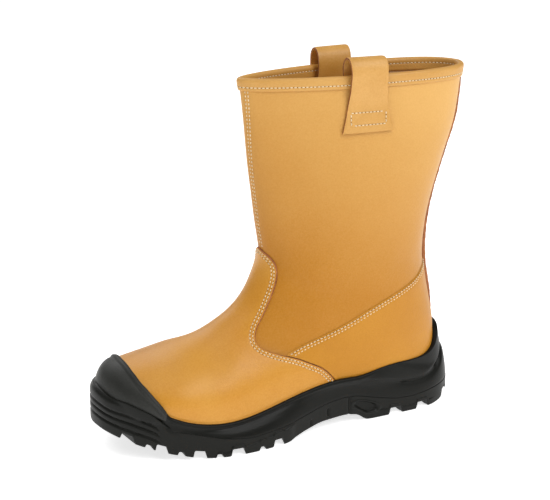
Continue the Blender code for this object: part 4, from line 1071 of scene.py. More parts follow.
def overlay_piece(name, net, lift, finishes, raw, replaced, even_low=False):
    """A sheet on the leather as a closed mesh: outer face, inner face and the cut edge between them."""
    outer = leather(net.s, net.t, lift)
    inner = leather(net.s, net.t, np.full(len(net.s), GAP))
    if even_low:
        outer = even_heel(outer, net.faces)
    faces = shell_faces(net.faces, open_edges(net.faces), len(outer))
    indices = np.zeros(len(faces), int)
    indices[: len(net.faces)] = raw
    indices[2 * len(net.faces):] = 1
    add_piece(name, np.concatenate([outer, inner]), faces, finishes, indices, replaced)


def build_leg(finishes):
    """The leather wall from collar to toe, with the lapped seam down the front and its lining inside."""
    leg_s = np.linspace(0.0, HEEL_KNOT, LEG_LINES, endpoint=False)
    s_lines = np.concatenate([leg_s, np.linspace(HEEL_KNOT, 1.0, FOOT_LINES)])
    even_t = np.linspace(-1.0, 1.0, AROUND_LINES)
    t_lines = even_t - FRONT_CROWDING * np.sin(2.0 * math.pi * even_t)
    s, t, faces = make_net(s_lines, t_lines)
    points = upper_points(s, t)
    step = np.linalg.norm(np.diff(points.reshape(len(s_lines), len(t_lines), 3), axis=1), axis=2)
    way = np.concatenate([np.zeros((len(s_lines), 1)), np.cumsum(step, axis=1)], axis=1)
    front = (way - way[:, [len(t_lines) // 2]]).ravel() - read(FRONT_SEAM, points[:, 2])
    net = Net(s, t, faces, {"front": front, "vamp": distance_to(points, VAMP_LINE)})
    for level in [FRONT_LAP + past for past in FRONT_LAP_CUTS] + row_levels(FRONT_ROWS):
        net = cut(net, "front", level)
    front = net.fields["front"]
    past = front - FRONT_LAP
    on_leg = smooth_step((FRONT_VAMP_FADE - net.fields["vamp"]) / FRONT_VAMP_FADE) * (net.s < HEEL_KNOT)
    lap = smooth_step(past / FRONT_LAP_STEP) * (1.0 - smooth_step(past / FRONT_LAP_FADE))
    outer = leather(net.s, net.t, on_leg * (FRONT_LAP_RISE * lap - row_troughs(front, FRONT_ROWS)))
    inner = leather(net.s, net.t, np.full(len(net.s), -WALL))
    seam = (np.abs(net.t) > 1.0 - TINY) & (net.s <= HEEL_KNOT + TINY)
    outer[seam, 1] = 0.0
    inner[seam, 1] = 0.0
    rim = open_edges(net.faces)
    all_faces = shell_faces(net.faces, rim[~seam[rim].all(axis=1)], len(outer))
    indices = np.zeros(len(all_faces), int)
    indices[len(net.faces):] = 1
    add_piece("leg", np.concatenate([outer, inner]), all_faces, finishes, indices, ("upper",))


def build_vamp(finishes):
    """The overlay from its cut edge to the toe, with two sunk stitch rows and a line over the lip."""
    s_lines = np.linspace(KNOTS[VAMP_TOP_ROW], 1.0, VAMP_LINES)
    s, t, faces = make_net(s_lines, np.linspace(-1.0, 1.0, AROUND_LINES))
    points = upper_points(s, t)
    over_lip = points[:, 2] - smooth_height(LIP, points[:, 0])
    net = Net(s, t, faces, {"vamp": distance_to(points, VAMP_LINE), "lip": over_lip})
    for level in [*VAMP_CUTS, *row_levels(VAMP_ROWS)]:
        net = cut(net, "vamp", level)
    for level in row_levels([PRESSED_LINE]):
        net = cut(net, "lip", level)
    net = kept(net, lambda n, f: middle(n, f, "vamp") > 0.0)
    distance = net.fields["vamp"]
    lift = GAP + rounded_edge(distance, VAMP_LEATHER, VAMP_EDGE_RADIUS) - row_troughs(distance, VAMP_ROWS)
    lift -= PRESSED_DEPTH * bell((net.fields["lip"] - PRESSED_LINE) / ROW_HALF)
    raw = middle(net, net.faces, "vamp") < VAMP_RAW
    overlay_piece("vamp_leather", net, lift, finishes, raw, ("vamp",))


def build_counter(name, node, side, finishes):
    """One heel panel under its slanted seam."""
    s_lines = np.linspace(KNOTS[COUNTER_TOP_ROW], KNOTS[COUNTER_LAST_ROW], COUNTER_LINES)
    ends = (COUNTER_FRONT, 1.0) if side > 0.0 else (-1.0, -COUNTER_FRONT)
    s, t, faces = make_net(s_lines, np.linspace(*ends, COUNTER_COLUMNS))
    points = upper_points(s, t)
    fields = {
        "seam": distance_to(points, SEAM_LINES[side]),
        "vamp": -distance_to(points, VAMP_LINE),
        "up": points[:, 2],
        "across": points[:, 1] * side,
    }
    net = Net(s, t, faces, fields)
    for level in [*COUNTER_CUTS, *row_levels(COUNTER_ROWS)]:
        net = cut(net, "seam", level)
    across = WELT_WIDTH / 2.0 + COUNTER_WELT_GAP
    limits = {"seam": 0.0, "vamp": COUNTER_VAMP_GAP, "up": COUNTER_FOOT, "across": across}
    for key in ("vamp", "up", "across"):
        net = cut(net, key, limits[key])

    def inside(n, f):
        return np.all([middle(n, f, key) > limit for key, limit in limits.items()], axis=0)

    net = kept(net, inside)
    distance = net.fields["seam"]
    lift = GAP + COUNTER_LEATHER * smooth_step(distance / COUNTER_SOFT) - row_troughs(distance, COUNTER_ROWS)
    overlay_piece(name, net, lift, finishes, 0, (node,), even_low=True)


def build_welt(finish):
    """The raised seam down the back: two cut edges of leather side by side."""
    line_s = np.linspace(0.0, HEEL_KNOT, WELT_SECTION_POINTS)
    line_up = upper_points(line_s, np.ones_like(line_s))[:, 2]
    ups = np.linspace(WELT_TOP_UP, WELT_FOOT_UP, WELT_LINES)
    s = np.interp(-ups, -line_up, line_s)
    centre = upper_points(s, np.ones_like(s))
    centre[:, 1] = 0.0
    centre[:, 0] -= back_ridge(centre)
    out = upper_normals(s, np.ones_like(s))
    out[:, 1] = 0.0
    wave = 1.0 + sum(row.size * np.sin(ups * row.turn + row.start) for row in WELT_RIPPLES)
    proud = (WELT_HEIGHT - WELT_LIFT) * wave + read(WELT_PROUD, ups)
    rings = []
    for row in WELT_SHAPE:
        beside_middle = np.array([0.0, row.across * WELT_WIDTH / 2.0, 0.0])
        rings.append(centre + out * (WELT_LIFT + row.rise * proud)[:, None] + beside_middle)
    count = len(rings)
    faces = grid_faces(len(ups), count, wrap=True)
    faces += [tuple(range(count)), tuple((len(ups) - 1) * count + k for k in reversed(range(count)))]
    points = np.stack(rings, axis=1).reshape(-1, 3)
    add_piece("back_seam", points, faces, [finish], None, ("back_welt",))


def sunk_band(row_down):
    """One side of the band's section with its stitch row sunk in."""
    return [BandRow(row.down, row.off - ROW_DEPTH * bell((row.down - row_down) / ROW_HALF)) for row in BAND]


def build_band(finish):
    """The folded leather band over the collar's rim."""
    t = np.linspace(-1.0, 1.0, BAND_COLUMNS + 1)[:-1]
    inside = [BandRow(row.down, -WALL - row.off) for row in sunk_band(COLLAR_ROW_INSIDE)[-2::-1]]
    low, high = BAND_HIDDEN_LOW, BAND_HIDDEN_HIGH
    hidden = [BandRow(low, -WALL - GAP), BandRow(high, -WALL - GAP), BandRow(high, GAP), BandRow(low, GAP)]
    rings = []
    for row in sunk_band(COLLAR_ROW) + inside + hidden:
        s = np.full_like(t, max(row.down, 0.0) * S_PER_MM)
        points = leather(s, t, np.full(t.shape, row.off))
        points[:, 2] += max(-row.down, 0.0)
        rings.append(points)
    grid = np.stack(rings, axis=1)
    count, size = grid.shape[:2]
    faces = []
    for i in range(count):
        a, b = i * size, ((i + 1) % count) * size
        faces += [(a + k, b + k, b + (k + 1) % size, a + (k + 1) % size) for k in range(size)]
    points = grid.reshape(-1, 3)
    add_piece("collar_band", points, faces, [finish], None, ("collar_binding",))


def strap_surface(side):
    """The strap's near face, the unit vectors away from it and its path, over its length and its width."""
    rows = np.array(STRAP)
    way = way_along(rows[:, :2])
    path = spline(way, rows, np.linspace(0.0, way[-1], STRAP_LINES))
    ahead = unit(np.gradient(path[:, :2], axis=0))
    away = np.stack([np.zeros(len(path)), side * ahead[:, 1], -ahead[:, 0]], axis=1)
    near = np.zeros((len(path), STRAP_WIDTH_LINES, 3))
    for i, (stand_off, up, half_width) in enumerate(path):
        for j, w in enumerate(np.linspace(-1.0, 1.0, STRAP_WIDTH_LINES)):
            x = STRAP_ALONG + w * half_width
            face, _ = ray(LEG_TREE, (x, side * FAR, min(up, COLLAR_UP - STRAP_UNDER_RIM)), (0.0, -side, 0.0))
            near[i, j] = (x, face[1] + side * stand_off, up)
    return near, away, path


def build_strap(name, node, side, finishes):
    """A pull strap up the outside of the leg, over in a loop above the rim and down inside."""
    near, away, path = strap_surface(side)
    half = path[:, 2:3]
    width = half * np.linspace(-1.0, 1.0, STRAP_WIDTH_LINES)[None, :]
    outside = np.arange(len(path))[:, None] < len(path) * STRAP_OUTSIDE
    up = near[..., 2]
    box_up = np.minimum(np.abs(up - STRAP_BOX_LOW), np.abs(up - STRAP_BOX_HIGH))
    in_up = (up > STRAP_BOX_LOW - STRAP_BOX_PAST) & (up < STRAP_BOX_HIGH + STRAP_BOX_PAST)
    in_width = np.abs(width) < STRAP_BOX_HALF + STRAP_BOX_PAST
    box_side = np.abs(np.abs(width) - STRAP_BOX_HALF)
    sink = np.where(in_width, bell(box_up / STRAP_SINK_HALF), 0.0)
    sink = np.maximum(sink, np.where(in_up, bell(box_side / STRAP_SINK_HALF), 0.0)) * outside
    edge = 1.0 - smooth_step((half - np.abs(width)) / STRAP_EDGE)
    thick = STRAP_LEATHER * (1.0 - STRAP_EDGE_FAR * edge) - STRAP_SINK * sink
    far = near + away[:, None, :] * thick[..., None]
    near = near + away[:, None, :] * (STRAP_EDGE_NEAR * STRAP_LEATHER * edge)[..., None]
    rows, columns = near.shape[:2]
    size = rows * columns
    faces = grid_faces(rows, columns) + [face[::-1] for face in grid_faces(rows, columns, size)]
    first_raw = len(faces)
    rim = [(0, j) for j in range(columns)] + [(i, columns - 1) for i in range(1, rows)]
    rim += [(rows - 1, j) for j in range(columns - 2, -1, -1)] + [(i, 0) for i in range(rows - 2, 0, -1)]
    numbers = [i * columns + j for i, j in rim]
    for a, b in zip(numbers, numbers[1:] + numbers[:1]):
        faces.append((b, a, a + size, b + size))
    indices = np.zeros(len(faces), int)
    indices[first_raw:] = 1
    points = np.concatenate([far.reshape(-1, 3), near.reshape(-1, 3)])
    if side < 0.0:
        faces = [face[::-1] for face in faces]
    add_piece(name, points, faces, finishes, indices, (node,), sharp=SHEET_SHARP)
    return far, width


def along_line(way, values, at):
    """A line's points or unit vectors, read at distances along it."""
    return np.stack([np.interp(at, way, values[:, k]) for k in range(3)], axis=-1)


def stitch_mesh(lines, lift):
    """Points and faces of short threads along lines on the leather, which dip into it at both ends."""
    points = []
    faces = []
    u = np.linspace(-1.0, 1.0, THREAD_RINGS)
    rise = lift + STITCH_RISE * (1.0 - u**2) - STITCH_DIP * u**4
    radius = THREAD * np.sqrt(1.0 - THREAD_TAPER * u**4)
    for line in lines:
        way = way_along(line.points)
        for centre in np.arange(PITCH / 2.0, way[-1] - PITCH / 2.0, PITCH):
            at = centre + u * STITCH / 2.0
            body = along_line(way, line.points, at)
            out = along_line(way, line.normals, at)
            side = unit(np.cross(unit(body[-1] - body[0]), out))
            body = body + out * rise[:, None]
            ring = [body + (out * math.cos(g) + side * math.sin(g)) * radius[:, None] for g in THREAD_ANGLES]
            first = len(points) * THREAD_SIDES * THREAD_RINGS
            last = first + (THREAD_RINGS - 1) * THREAD_SIDES
            points.append(np.stack(ring, axis=1).reshape(-1, 3))
            faces += grid_faces(THREAD_RINGS, THREAD_SIDES, first, wrap=True)
            faces.append(tuple(first + k for k in reversed(range(THREAD_SIDES))))
            faces.append(tuple(last + k for k in range(THREAD_SIDES)))
    return np.concatenate(points), faces


def hole_shade_mesh(lines, lift):
    """Points and faces of small dark discs between the stitches, painted shade of the needle holes."""
    points = []
    faces = []
    for line in lines:
        way = way_along(line.points)
        for at in np.arange(PITCH, way[-1] - PITCH, PITCH):
            body = along_line(way, line.points, at)
            out = along_line(way, line.normals, at)
            side = unit(np.cross(along_line(way, line.points, at + HOLE_AHEAD) - body, out))
            ahead = np.cross(out, side)
            centre = body + out * (lift + HOLE_LIFT)
            ring = [centre + HOLE * (ahead * math.cos(g) + side * math.sin(g)) for g in THREAD_ANGLES]
            faces.append(tuple(len(points) * THREAD_SIDES + k for k in range(THREAD_SIDES)))
            points.append(np.array(ring))
    return np.concatenate(points), faces


def leg_line(s, t, lift, side=1.0):
    """A line along places of the leather with its folds, on its outside or, with side -1, its inside."""
    return Line(leather(s, t, np.full(s.shape, lift)), upper_normals(s, t) * side)


def folded(line):
    """A settled line moved as the leather is, by its folds and the ridge down its back."""
    points = line.points - line.normals * folds(line.points)[:, None]
    points[:, 0] -= back_ridge(line.points)
    return Line(points, line.normals)


def front_line(distance):
    """A line down the front of the leg at a distance from its foremost edge, from the band to the vamp."""
    front_s = np.linspace(0.0, HEEL_KNOT, FRONT_POINTS)
    t = np.linspace(-FRONT_REACH, FRONT_REACH, FRONT_COLUMNS)
    picked = []
    for s in front_s:
        section = upper_points(np.full_like(t, s), t)
        way = way_along(section)
        way = way - way[len(t) // 2] - read(FRONT_SEAM, section[:, 2])
        picked.append(np.interp(distance, way, t))
    picked = np.array(picked)
    points = upper_points(front_s, picked)
    up = points[:, 2]
    inside = (up > FRONT_ROW_LOW) & (up < COLLAR_UP - BINDING_DOWN + FRONT_ROW_UNDER_BAND)
    inside &= distance_to(points, VAMP_LINE) < -FRONT_ROW_VAMP_GAP
    return leg_line(front_s[inside], picked[inside], 0.0)


def collar_line(down, lift, side):
    """The stitch row of the collar's band, outside or inside."""
    t = np.linspace(-1.0, 1.0, COLLAR_POINTS)
    return leg_line(np.full_like(t, down * S_PER_MM), t, lift, side)


def strap_lines(far, width, side):
    """The rectangle of stitches near the strap's lower end, on its outer face."""
    count = int(len(far) * STRAP_OUTSIDE)
    across = np.arange(far.shape[1])
    corners = [(-1.0, STRAP_BOX_LOW), (1.0, STRAP_BOX_LOW), (1.0, STRAP_BOX_HIGH), (-1.0, STRAP_BOX_HIGH)]

    def at(w, up):
        i = np.interp(up, far[:count, far.shape[1] // 2, 2], np.arange(count))
        low = int(i)
        row = far[low] + (i - low) * (far[low + 1] - far[low])
        widths = width[low] + (i - low) * (width[low + 1] - width[low])
        return along_line(across, row, np.interp(w * STRAP_BOX_HALF, widths, across))

    lines = []
    for (w0, up0), (w1, up1) in zip(corners, corners[1:] + corners[:1]):
        shares = np.linspace(0.0, 1.0, STRAP_BOX_POINTS)
        points = np.array([at(w0 + f * (w1 - w0), up0 + f * (up1 - up0)) for f in shares])
        lines.append(Line(points, np.tile((0.0, side, 0.0), (len(points), 1))))
    return lines


def add_stitches(name, lines, lift, finishes):
    """The stitches along lines and, in the same mesh, dark discs of painted shade in their needle holes."""
    points, faces = stitch_mesh(lines, lift)
    holes, hole_faces = hole_shade_mesh(lines, lift)
    indices = [0] * len(faces) + [1] * len(hole_faces)
    faces += [tuple(k + len(points) for k in face) for face in hole_faces]
    add_piece(name, np.concatenate([points, holes]), faces, finishes, indices)


def build_stitching(straps, finishes):
    """All the seams' stitches."""
    rows = [folded(beside(VAMP_LINE, row)) for row in VAMP_ROWS]
    add_stitches("stitching_vamp", rows, GAP + VAMP_LEATHER - ROW_DEPTH, finishes)
    rows = []
    for seam in SEAM_LINES.values():
        for row in COUNTER_ROWS:
            line = folded(beside(seam, row))
            clear = distance_to(line.points, VAMP_LINE) < -COUNTER_ROW_VAMP_GAP
            clear &= np.abs(line.points[:, 1]) > WELT_WIDTH / 2.0 + COUNTER_ROW_WELT_GAP
            rows.append(Line(line.points[clear], line.normals[clear]))
    add_stitches("stitching_counter", rows, GAP + COUNTER_ROW_LIFT * COUNTER_LEATHER - ROW_DEPTH, finishes)
    rows = [front_line(row) for row in FRONT_ROWS]
    add_stitches("stitching_front", rows, FRONT_LAP_RISE * FRONT_ROW_LIFT - ROW_DEPTH, finishes)
    rows = [
        collar_line(COLLAR_ROW, COLLAR_ROW_LIFT, 1.0),
        collar_line(COLLAR_ROW_INSIDE, -WALL - COLLAR_ROW_LIFT, -1.0),
    ]
    add_stitches("stitching_collar", rows, 0.0, finishes)
    rows = []
    for side, (far, width) in straps.items():
        rows += strap_lines(far, width, side)
    add_stitches("stitching_loops", rows, 0.0, finishes)


# The sole's columns: outline points and outward directions in plan, from the heel's back along the lateral
# side to the toe and back along the medial side.
OUTLINE_ROWS = [HEEL_BACK, *SOLE_LATERAL, TOE_TIP, *SOLE_MEDIAL[::-1]]
CYCLE = np.array(OUTLINE_ROWS * 3)
CYCLE_WAY = way_along(CYCLE)
COUNT = len(OUTLINE_ROWS)
AROUND = np.linspace(CYCLE_WAY[COUNT], CYCLE_WAY[2 * COUNT], OUTLINE_POINTS)
OUTLINE = spline(CYCLE_WAY, CYCLE, AROUND)
TURN = np.gradient(OUTLINE, axis=0)
OUTWARD = unit(np.stack([-TURN[:, 1], TURN[:, 0]], axis=1))
COLUMN_AT = np.linspace(0, len(OUTLINE) - 1, SOLE_LINES, endpoint=False).astype(int)
PLAN = OUTLINE[COLUMN_AT]
OUT = OUTWARD[COLUMN_AT]
ALONG = PLAN[:, 0]
TOE_COLUMN = int(np.argmax(ALONG))
BUMPER_BLEND = np.clip((ALONG - BUMPER_FROM) / BUMPER_RAMP, 0.0, 1.0)
TUCK = BUMPER_BLEND * (BUMPER_RUBBER + BUMPER_TUCK)
PARTING_UP = height(PARTING, ALONG)
LOWER = BUMPER_LOWER + BUMPER_LOWER_TOE * smooth_step((ALONG - BUMPER_TOE) / BUMPER_TOE_RAMP)
BUMPER_UP = smooth_height(BUMPER_TOP, np.maximum(ALONG, BUMPER_TOP[0].along)) - LOWER
TREAD_TOP = np.where(ALONG > BUMPER_TOP[0].along, np.maximum(PARTING_UP, BUMPER_UP), PARTING_UP)
WALL_SHARES = 1.0 - (1.0 - np.linspace(0.0, 1.0, WALL_STEPS)) ** WALL_CROWDING


def sole_ring(inset, up):
    """A ring of points at an inset from the outline and at a height, each given once or for every column."""
    plan = PLAN - OUT * np.broadcast_to(np.asarray(inset, float), ALONG.shape)[:, None]
    return np.column_stack([plan, np.broadcast_to(np.asarray(up, float), ALONG.shape)])


def around_smooth(values, width):
    """Values of the sole's columns smoothed around it."""
    reach = math.ceil(SMOOTHING_REACH * width)
    span = np.arange(-reach, reach + 1)
    weights = bell(span / width)
    weights /= weights.sum()
    return sum(w * np.roll(values, k, axis=0) for k, w in zip(span, weights))


def lateral_edge(along):
    """How far across the sole's lateral outline lies."""
    return np.interp(along, ALONG[: TOE_COLUMN + 1], PLAN[: TOE_COLUMN + 1, 1])


def foot_reach(column, up):
    """How far outside the outline the covered foot stands at a column and a height; negative inside."""
    start = np.array([*(PLAN[column] + FOOT_LOOK * OUT[column]), up])
    met = ray(SKIN_TREE, start, (*(-OUT[column]), 0.0))
    return (met[0][:2] - PLAN[column]) @ OUT[column] if met is not None else NO_FOOT


def foot_place(column, up):
    """The covered foot's place at a column and a height."""
    return np.array([*(PLAN[column] + OUT[column] * foot_reach(column, up)), up])


def bottom_up(along):
    """Height of the leather's bottom edge, level past its ends."""
    return smooth_height(LEATHER_BOTTOM, np.clip(along, LEATHER_BOTTOM[0].along, LEATHER_BOTTOM[-1].along))


def core_up(along):
    """Height at which the rand and the tread meet inside the sole."""
    return bottom_up(along) - CORE_DROP


def edge_up(along):
    """Height of the parting just inside the sole's edge; behind the bumper it drops to the core's height."""
    blend = np.clip((along - BUMPER_FROM) / BUMPER_RAMP, 0.0, 1.0)
    return height(PARTING, along) * (1.0 - blend) + core_up(along) * blend


def cap_edge_place(degrees, side):
    """Where the scuff cap's rear edge lies on the covered foot, at an angle up from one of its ends."""
    angle = math.radians(degrees)
    start = (read(CAP_EDGE, degrees), CAP_CENTRE_ACROSS, CAP_CENTRE_UP)
    return ray(SKIN_TREE, start, (0.0, side * math.cos(angle), math.sin(angle)))[0]


def rand_wall():
    """For each column, places on the covered foot from the rand line up to the lip or the cap's edge."""
    toe = TOE_COLUMN
    way = way_along(PLAN)
    lateral_foot = np.interp(CAP_FOOT, ALONG[: toe + 1], way[: toe + 1])
    medial_foot = np.interp(-CAP_FOOT, -ALONG[toe:], way[toe:])
    places = np.zeros((len(ALONG), WALL_STEPS, 3))
    for c in range(len(ALONG)):
        low = foot_place(c, float(smooth_height(RAND_LINE, ALONG[c])) + WALL_FOOT)
        if ALONG[c] > CAP_FOOT:
            start = lateral_foot if c <= toe else medial_foot
            degrees = CAP_EDGE[-1].degrees * (way[c] - start) / (way[toe] - start)
            top = cap_edge_place(degrees, 1.0 if c <= toe else -1.0)
        else:
            top = foot_place(c, float(smooth_height(LIP, ALONG[c])))
        along = min(max(ALONG[c], WALL_CENTRE_FROM), WALL_CENTRE_TO)
        centre = np.array([along, CAP_CENTRE_ACROSS, WALL_CENTRE_UP])
        places[c, 0] = low
        places[c, -1] = top
        for k in range(1, WALL_STEPS - 1):
            target = low + (top - low) * WALL_SHARES[k]
            met = ray(SKIN_TREE, centre, target - centre)
            places[c, k] = met[0] if met is not None else target
    return around_smooth(places, WALL_SMOOTHING)


def wall_normals(places):
    """Unit vectors out of a wall of columns."""
    around = np.roll(places, -1, axis=0) - np.roll(places, 1, axis=0)
    normal = unit(np.cross(np.gradient(places, axis=1), around))
    toward = np.concatenate([OUT, np.full((len(ALONG), 1), WALL_UPWARD)], axis=1)
    return normal * np.sign((normal * toward[:, None, :]).sum(axis=2))[..., None]


def rand_side(places, normals, body, cup, thinned, fin):
    """The rand's outer face, ring by ring from the parting to its upper edge, without its lines and beads."""
    rand = smooth_height(RAND_LINE, ALONG)
    side = []
    for row in RAND_SIDE:
        up = PARTING_UP + RAND_SIDE_LOW + row.share * (rand - RAND_SIDE_HIGH - PARTING_UP)
        hidden = TUCK * smooth_step((TREAD_TOP - RAND_HIDE_SIDE - up) / RAND_HIDE)
        side.append(sole_ring(row.inset + hidden + FIN_TUCK * fin * row.share, up))
    hidden = TUCK * smooth_step((TREAD_TOP - RAND_HIDE_TOP - rand) / RAND_HIDE)
    inset = RAND_TOP_INSET + hidden + FIN_TUCK * fin + CUP_GROOVE * cup
    side.append(sole_ring(inset, rand - RAND_TOP_DOWN))
    for k, share in enumerate(WALL_SHARES):
        thin_top = 1.0 - CUP_THIN * thinned * share
        start = 1.0 - CUP_STEP * cup * bell(share / CUP_STEP_HALF)
        side.append(places[:, k] + normals[:, k] * (body * start * thin_top)[:, None])
    side = np.stack(side)
    for _ in range(RAND_SMOOTHING):
        pull = (side[:-2] + side[2:]) / 2.0 - side[1:-1]
        pull[0] = 0.0
        side[1:-1] += SMOOTHING_SHARE * pull * (1.0 - cup)[None, :, None]
    for c in range(len(ALONG)):
        for k in range(RAND_FIRST_EVEN, len(side) - 1):
            out = (side[k, c, :2] - PLAN[c]) @ OUT[c]
            short = foot_reach(c, side[k, c, 2]) + back_ridge(side[k, c]) + RAND_COVER - out
            side[k, c, :2] += max(short, 0.0) * OUT[c]
    evened = around_smooth(side[RAND_FIRST_EVEN:].transpose(1, 0, 2), RAND_EVEN)
    side[RAND_FIRST_EVEN:] = evened.transpose(1, 0, 2)
    return side


def build_rand(finishes):
    """The moulded rand with its rolled lip, the heel cup's second layer and the scuff cap with painted sheen.
    """
    places = rand_wall()
    places[..., 0] -= back_ridge(places)
    cap = smooth_step((ALONG - CAP_FOOT) / CAP_RAMP)
    cup = smooth_step((CUP_END - ALONG) / CUP_RAMP)
    fin = smooth_step((FIN_SPREAD - ALONG) / FIN_SPREAD)
    thinned = cup * (1.0 - CUP_THIN_BACK * fin)
    for _ in range(CUP_SMOOTHING):
        pull = (places[:, :-2] + places[:, 2:]) / 2.0 - places[:, 1:-1]
        places[:, 1:-1] += SMOOTHING_SHARE * pull * cup[:, None, None]
    normals = wall_normals(places)
    body = GAP + LIP_RUBBER + cap * (CAP_RUBBER - LIP_RUBBER) + cup * (CUP_RUBBER - LIP_RUBBER)
    body = body + fin * FIN_RUBBER
    side = rand_side(places, normals, body, cup, thinned, fin)
    step = np.linalg.norm(np.diff(places, axis=1), axis=2)
    down = np.concatenate([np.cumsum(step[:, ::-1], axis=1)[:, ::-1], np.zeros((len(ALONG), 1))], axis=1)
    bead = LIP_BEAD * bell((down - LIP_BEAD_DOWN) / LIP_BEAD_HALF) * (1.0 - cup)[:, None]
    bead -= CAP_LINE * bell((down - CAP_LINE_DOWN) / CAP_LINE_HALF) * cap[:, None]
    side[-WALL_STEPS:] += (normals * bead[..., None]).transpose(1, 0, 2)
    rings = [
        sole_ring(CORE_INSET + TUCK, core_up(ALONG) + GAP / 2.0),
        sole_ring(EDGE_INSET + TUCK, edge_up(ALONG) + GAP / 2.0),
        *side,
    ]
    body = body * (1.0 - CUP_THIN * thinned)
    up_way = unit(places[:, -1] - places[:, -2])
    for row in LIP_ROLL:
        rings.append(places[:, -1] + up_way * row.over + normals[:, -1] * (body * row.share)[:, None])
    columns = len(ALONG)
    faces = grid_faces(len(rings), columns, wrap=True)
    faces.append(tuple(range(columns)))
    # The scuff cap's faces take the lighter rubber: painted sheen on the same rubber as the rand.
    painted_sheen_on_cap = np.zeros((len(rings) - 1, columns), int)
    painted_sheen_on_cap[-WALL_STEPS:] = ALONG > CAP_FOOT + CAP_PAINTED_SHEEN_FROM
    indices = [*painted_sheen_on_cap.ravel(), 0]
    points = np.concatenate(rings)
    add_piece("rand", points, faces, finishes, indices, ("midsole",), sharp=RAND_SHARP)


def groove_depth(x, y):
    """How deep the tread's grooves are at places under the sole."""
    depth = np.zeros(np.broadcast(x, y).shape)
    for row in GROOVES:
        centre = (row.start + row.stop) / 2.0
        half = (row.stop - row.start) / 2.0
        edge = float(lateral_edge(centre))
        lean = row.forward * (edge - np.abs(y)) / (edge - row.inner)
        flank = smooth_step((half - np.abs(x - centre - lean)) / GROOVE_SLOPE + FLANK_START)
        inner = smooth_step((np.abs(y) - row.inner) / GROOVE_END)
        depth = np.maximum(depth, GROOVE_DEPTH * flank * inner)
    for along in DIMPLES:
        near = smooth_step((np.abs(y) - lateral_edge(along) + DIMPLE_LENGTH) / DIMPLE_END)
        notch = half_step(DIMPLE_HALF - np.abs(x - along), DIMPLE_SLOPE)
        depth = np.maximum(depth, DIMPLE_DEPTH * notch * near)
    for along in SPINE_SLOTS:
        slot = smooth_step((SPINE_SLOT_WIDTH / 2.0 - np.abs(x - along)) / SLOT_SIDE + SLOT_START)
        slot = slot * smooth_step((SPINE_SLOT_HALF - np.abs(y)) / SLOT_END + SLOT_START)
        depth = np.maximum(depth, SPINE_SLOT_SHARE * GROOVE_DEPTH * slot)
    return depth


def wall_relief(x, up, tips, parting):
    """How far the tread's side wall stands in or out, at heights between the lug tips and the parting."""
    f = (up - tips) / np.maximum(parting - tips, 1.0)
    wave_line = tips + (parting - tips) * read(WAVE, x)
    wave = half_step(wave_line - up, WAVE_SLOPE) * smooth_step((x - WAVE_FROM) / WAVE_FROM_RAMP)
    wave = wave * smooth_step((WAVE_TO - x) / WAVE_TO_RAMP)
    oval = np.hypot((x - OVAL_ALONG) / OVAL_HALF, (f - OVAL_MIDDLE) / OVAL_RISE)
    relief = WAVE_OUT * wave - OVAL_DEPTH * smooth_step((1.0 - oval) / OVAL_EDGE)
    relief = relief + OVAL_RIM * bell((oval - OVAL_RIM_AT) / OVAL_RIM_HALF)
    for row in BARS:
        ends = half_step(f - row.low, BAR_END) * half_step(row.high - f, BAR_END)
        relief = relief - row.depth * bell((x - row.along) / row.half) * ends
    lower = smooth_step((STEP_SHARE - f) / STEP_SLOPE) * smooth_step((x - STEP_FROM) / STEP_FROM_RAMP)
    return relief + STEP_OUT * lower * (1.0 - smooth_step((x - STEP_TO) / STEP_TO_RAMP))


def bumper_reach(ups):
    """How far the toe's bumper stands outside the outline, for each column and ring of the tread's side."""
    reach = np.zeros_like(ups)
    for c in np.flatnonzero(ALONG > BUMPER_FROM):
        blend = BUMPER_BLEND[c]
        parting = PARTING_UP[c]
        rubber = BUMPER_RUBBER * (BUMPER_THIN + (1.0 - BUMPER_THIN) * blend)
        for k, up in enumerate(ups[c]):
            shell = 2.0 * GAP + CAP_RUBBER + BUMPER_CLEAR + rubber
            out = foot_reach(c, max(up, parting + BUMPER_ROUND)) + shell
            low = smooth_step((parting + BUMPER_ROUND_FROM - up) / BUMPER_ROUND)
            low_out = min(max(out, -BUMPER_OUT_LOW), BUMPER_OUT_LOW)
            reach[c, k] = (min(out, BUMPER_OUT_HIGH) * (1.0 - low) + low_out * low) * blend
            reach[c, k] -= BUMPER_SOFT * blend * bell((TREAD_TOP[c] - up) / BUMPER_SOFT_HALF)
            if up > parting + CAP_COVER_UP:
                reach[c, k] = max(reach[c, k], foot_reach(c, up) + CAP_COVER)
    return around_smooth(reach, TREAD_SMOOTHING)


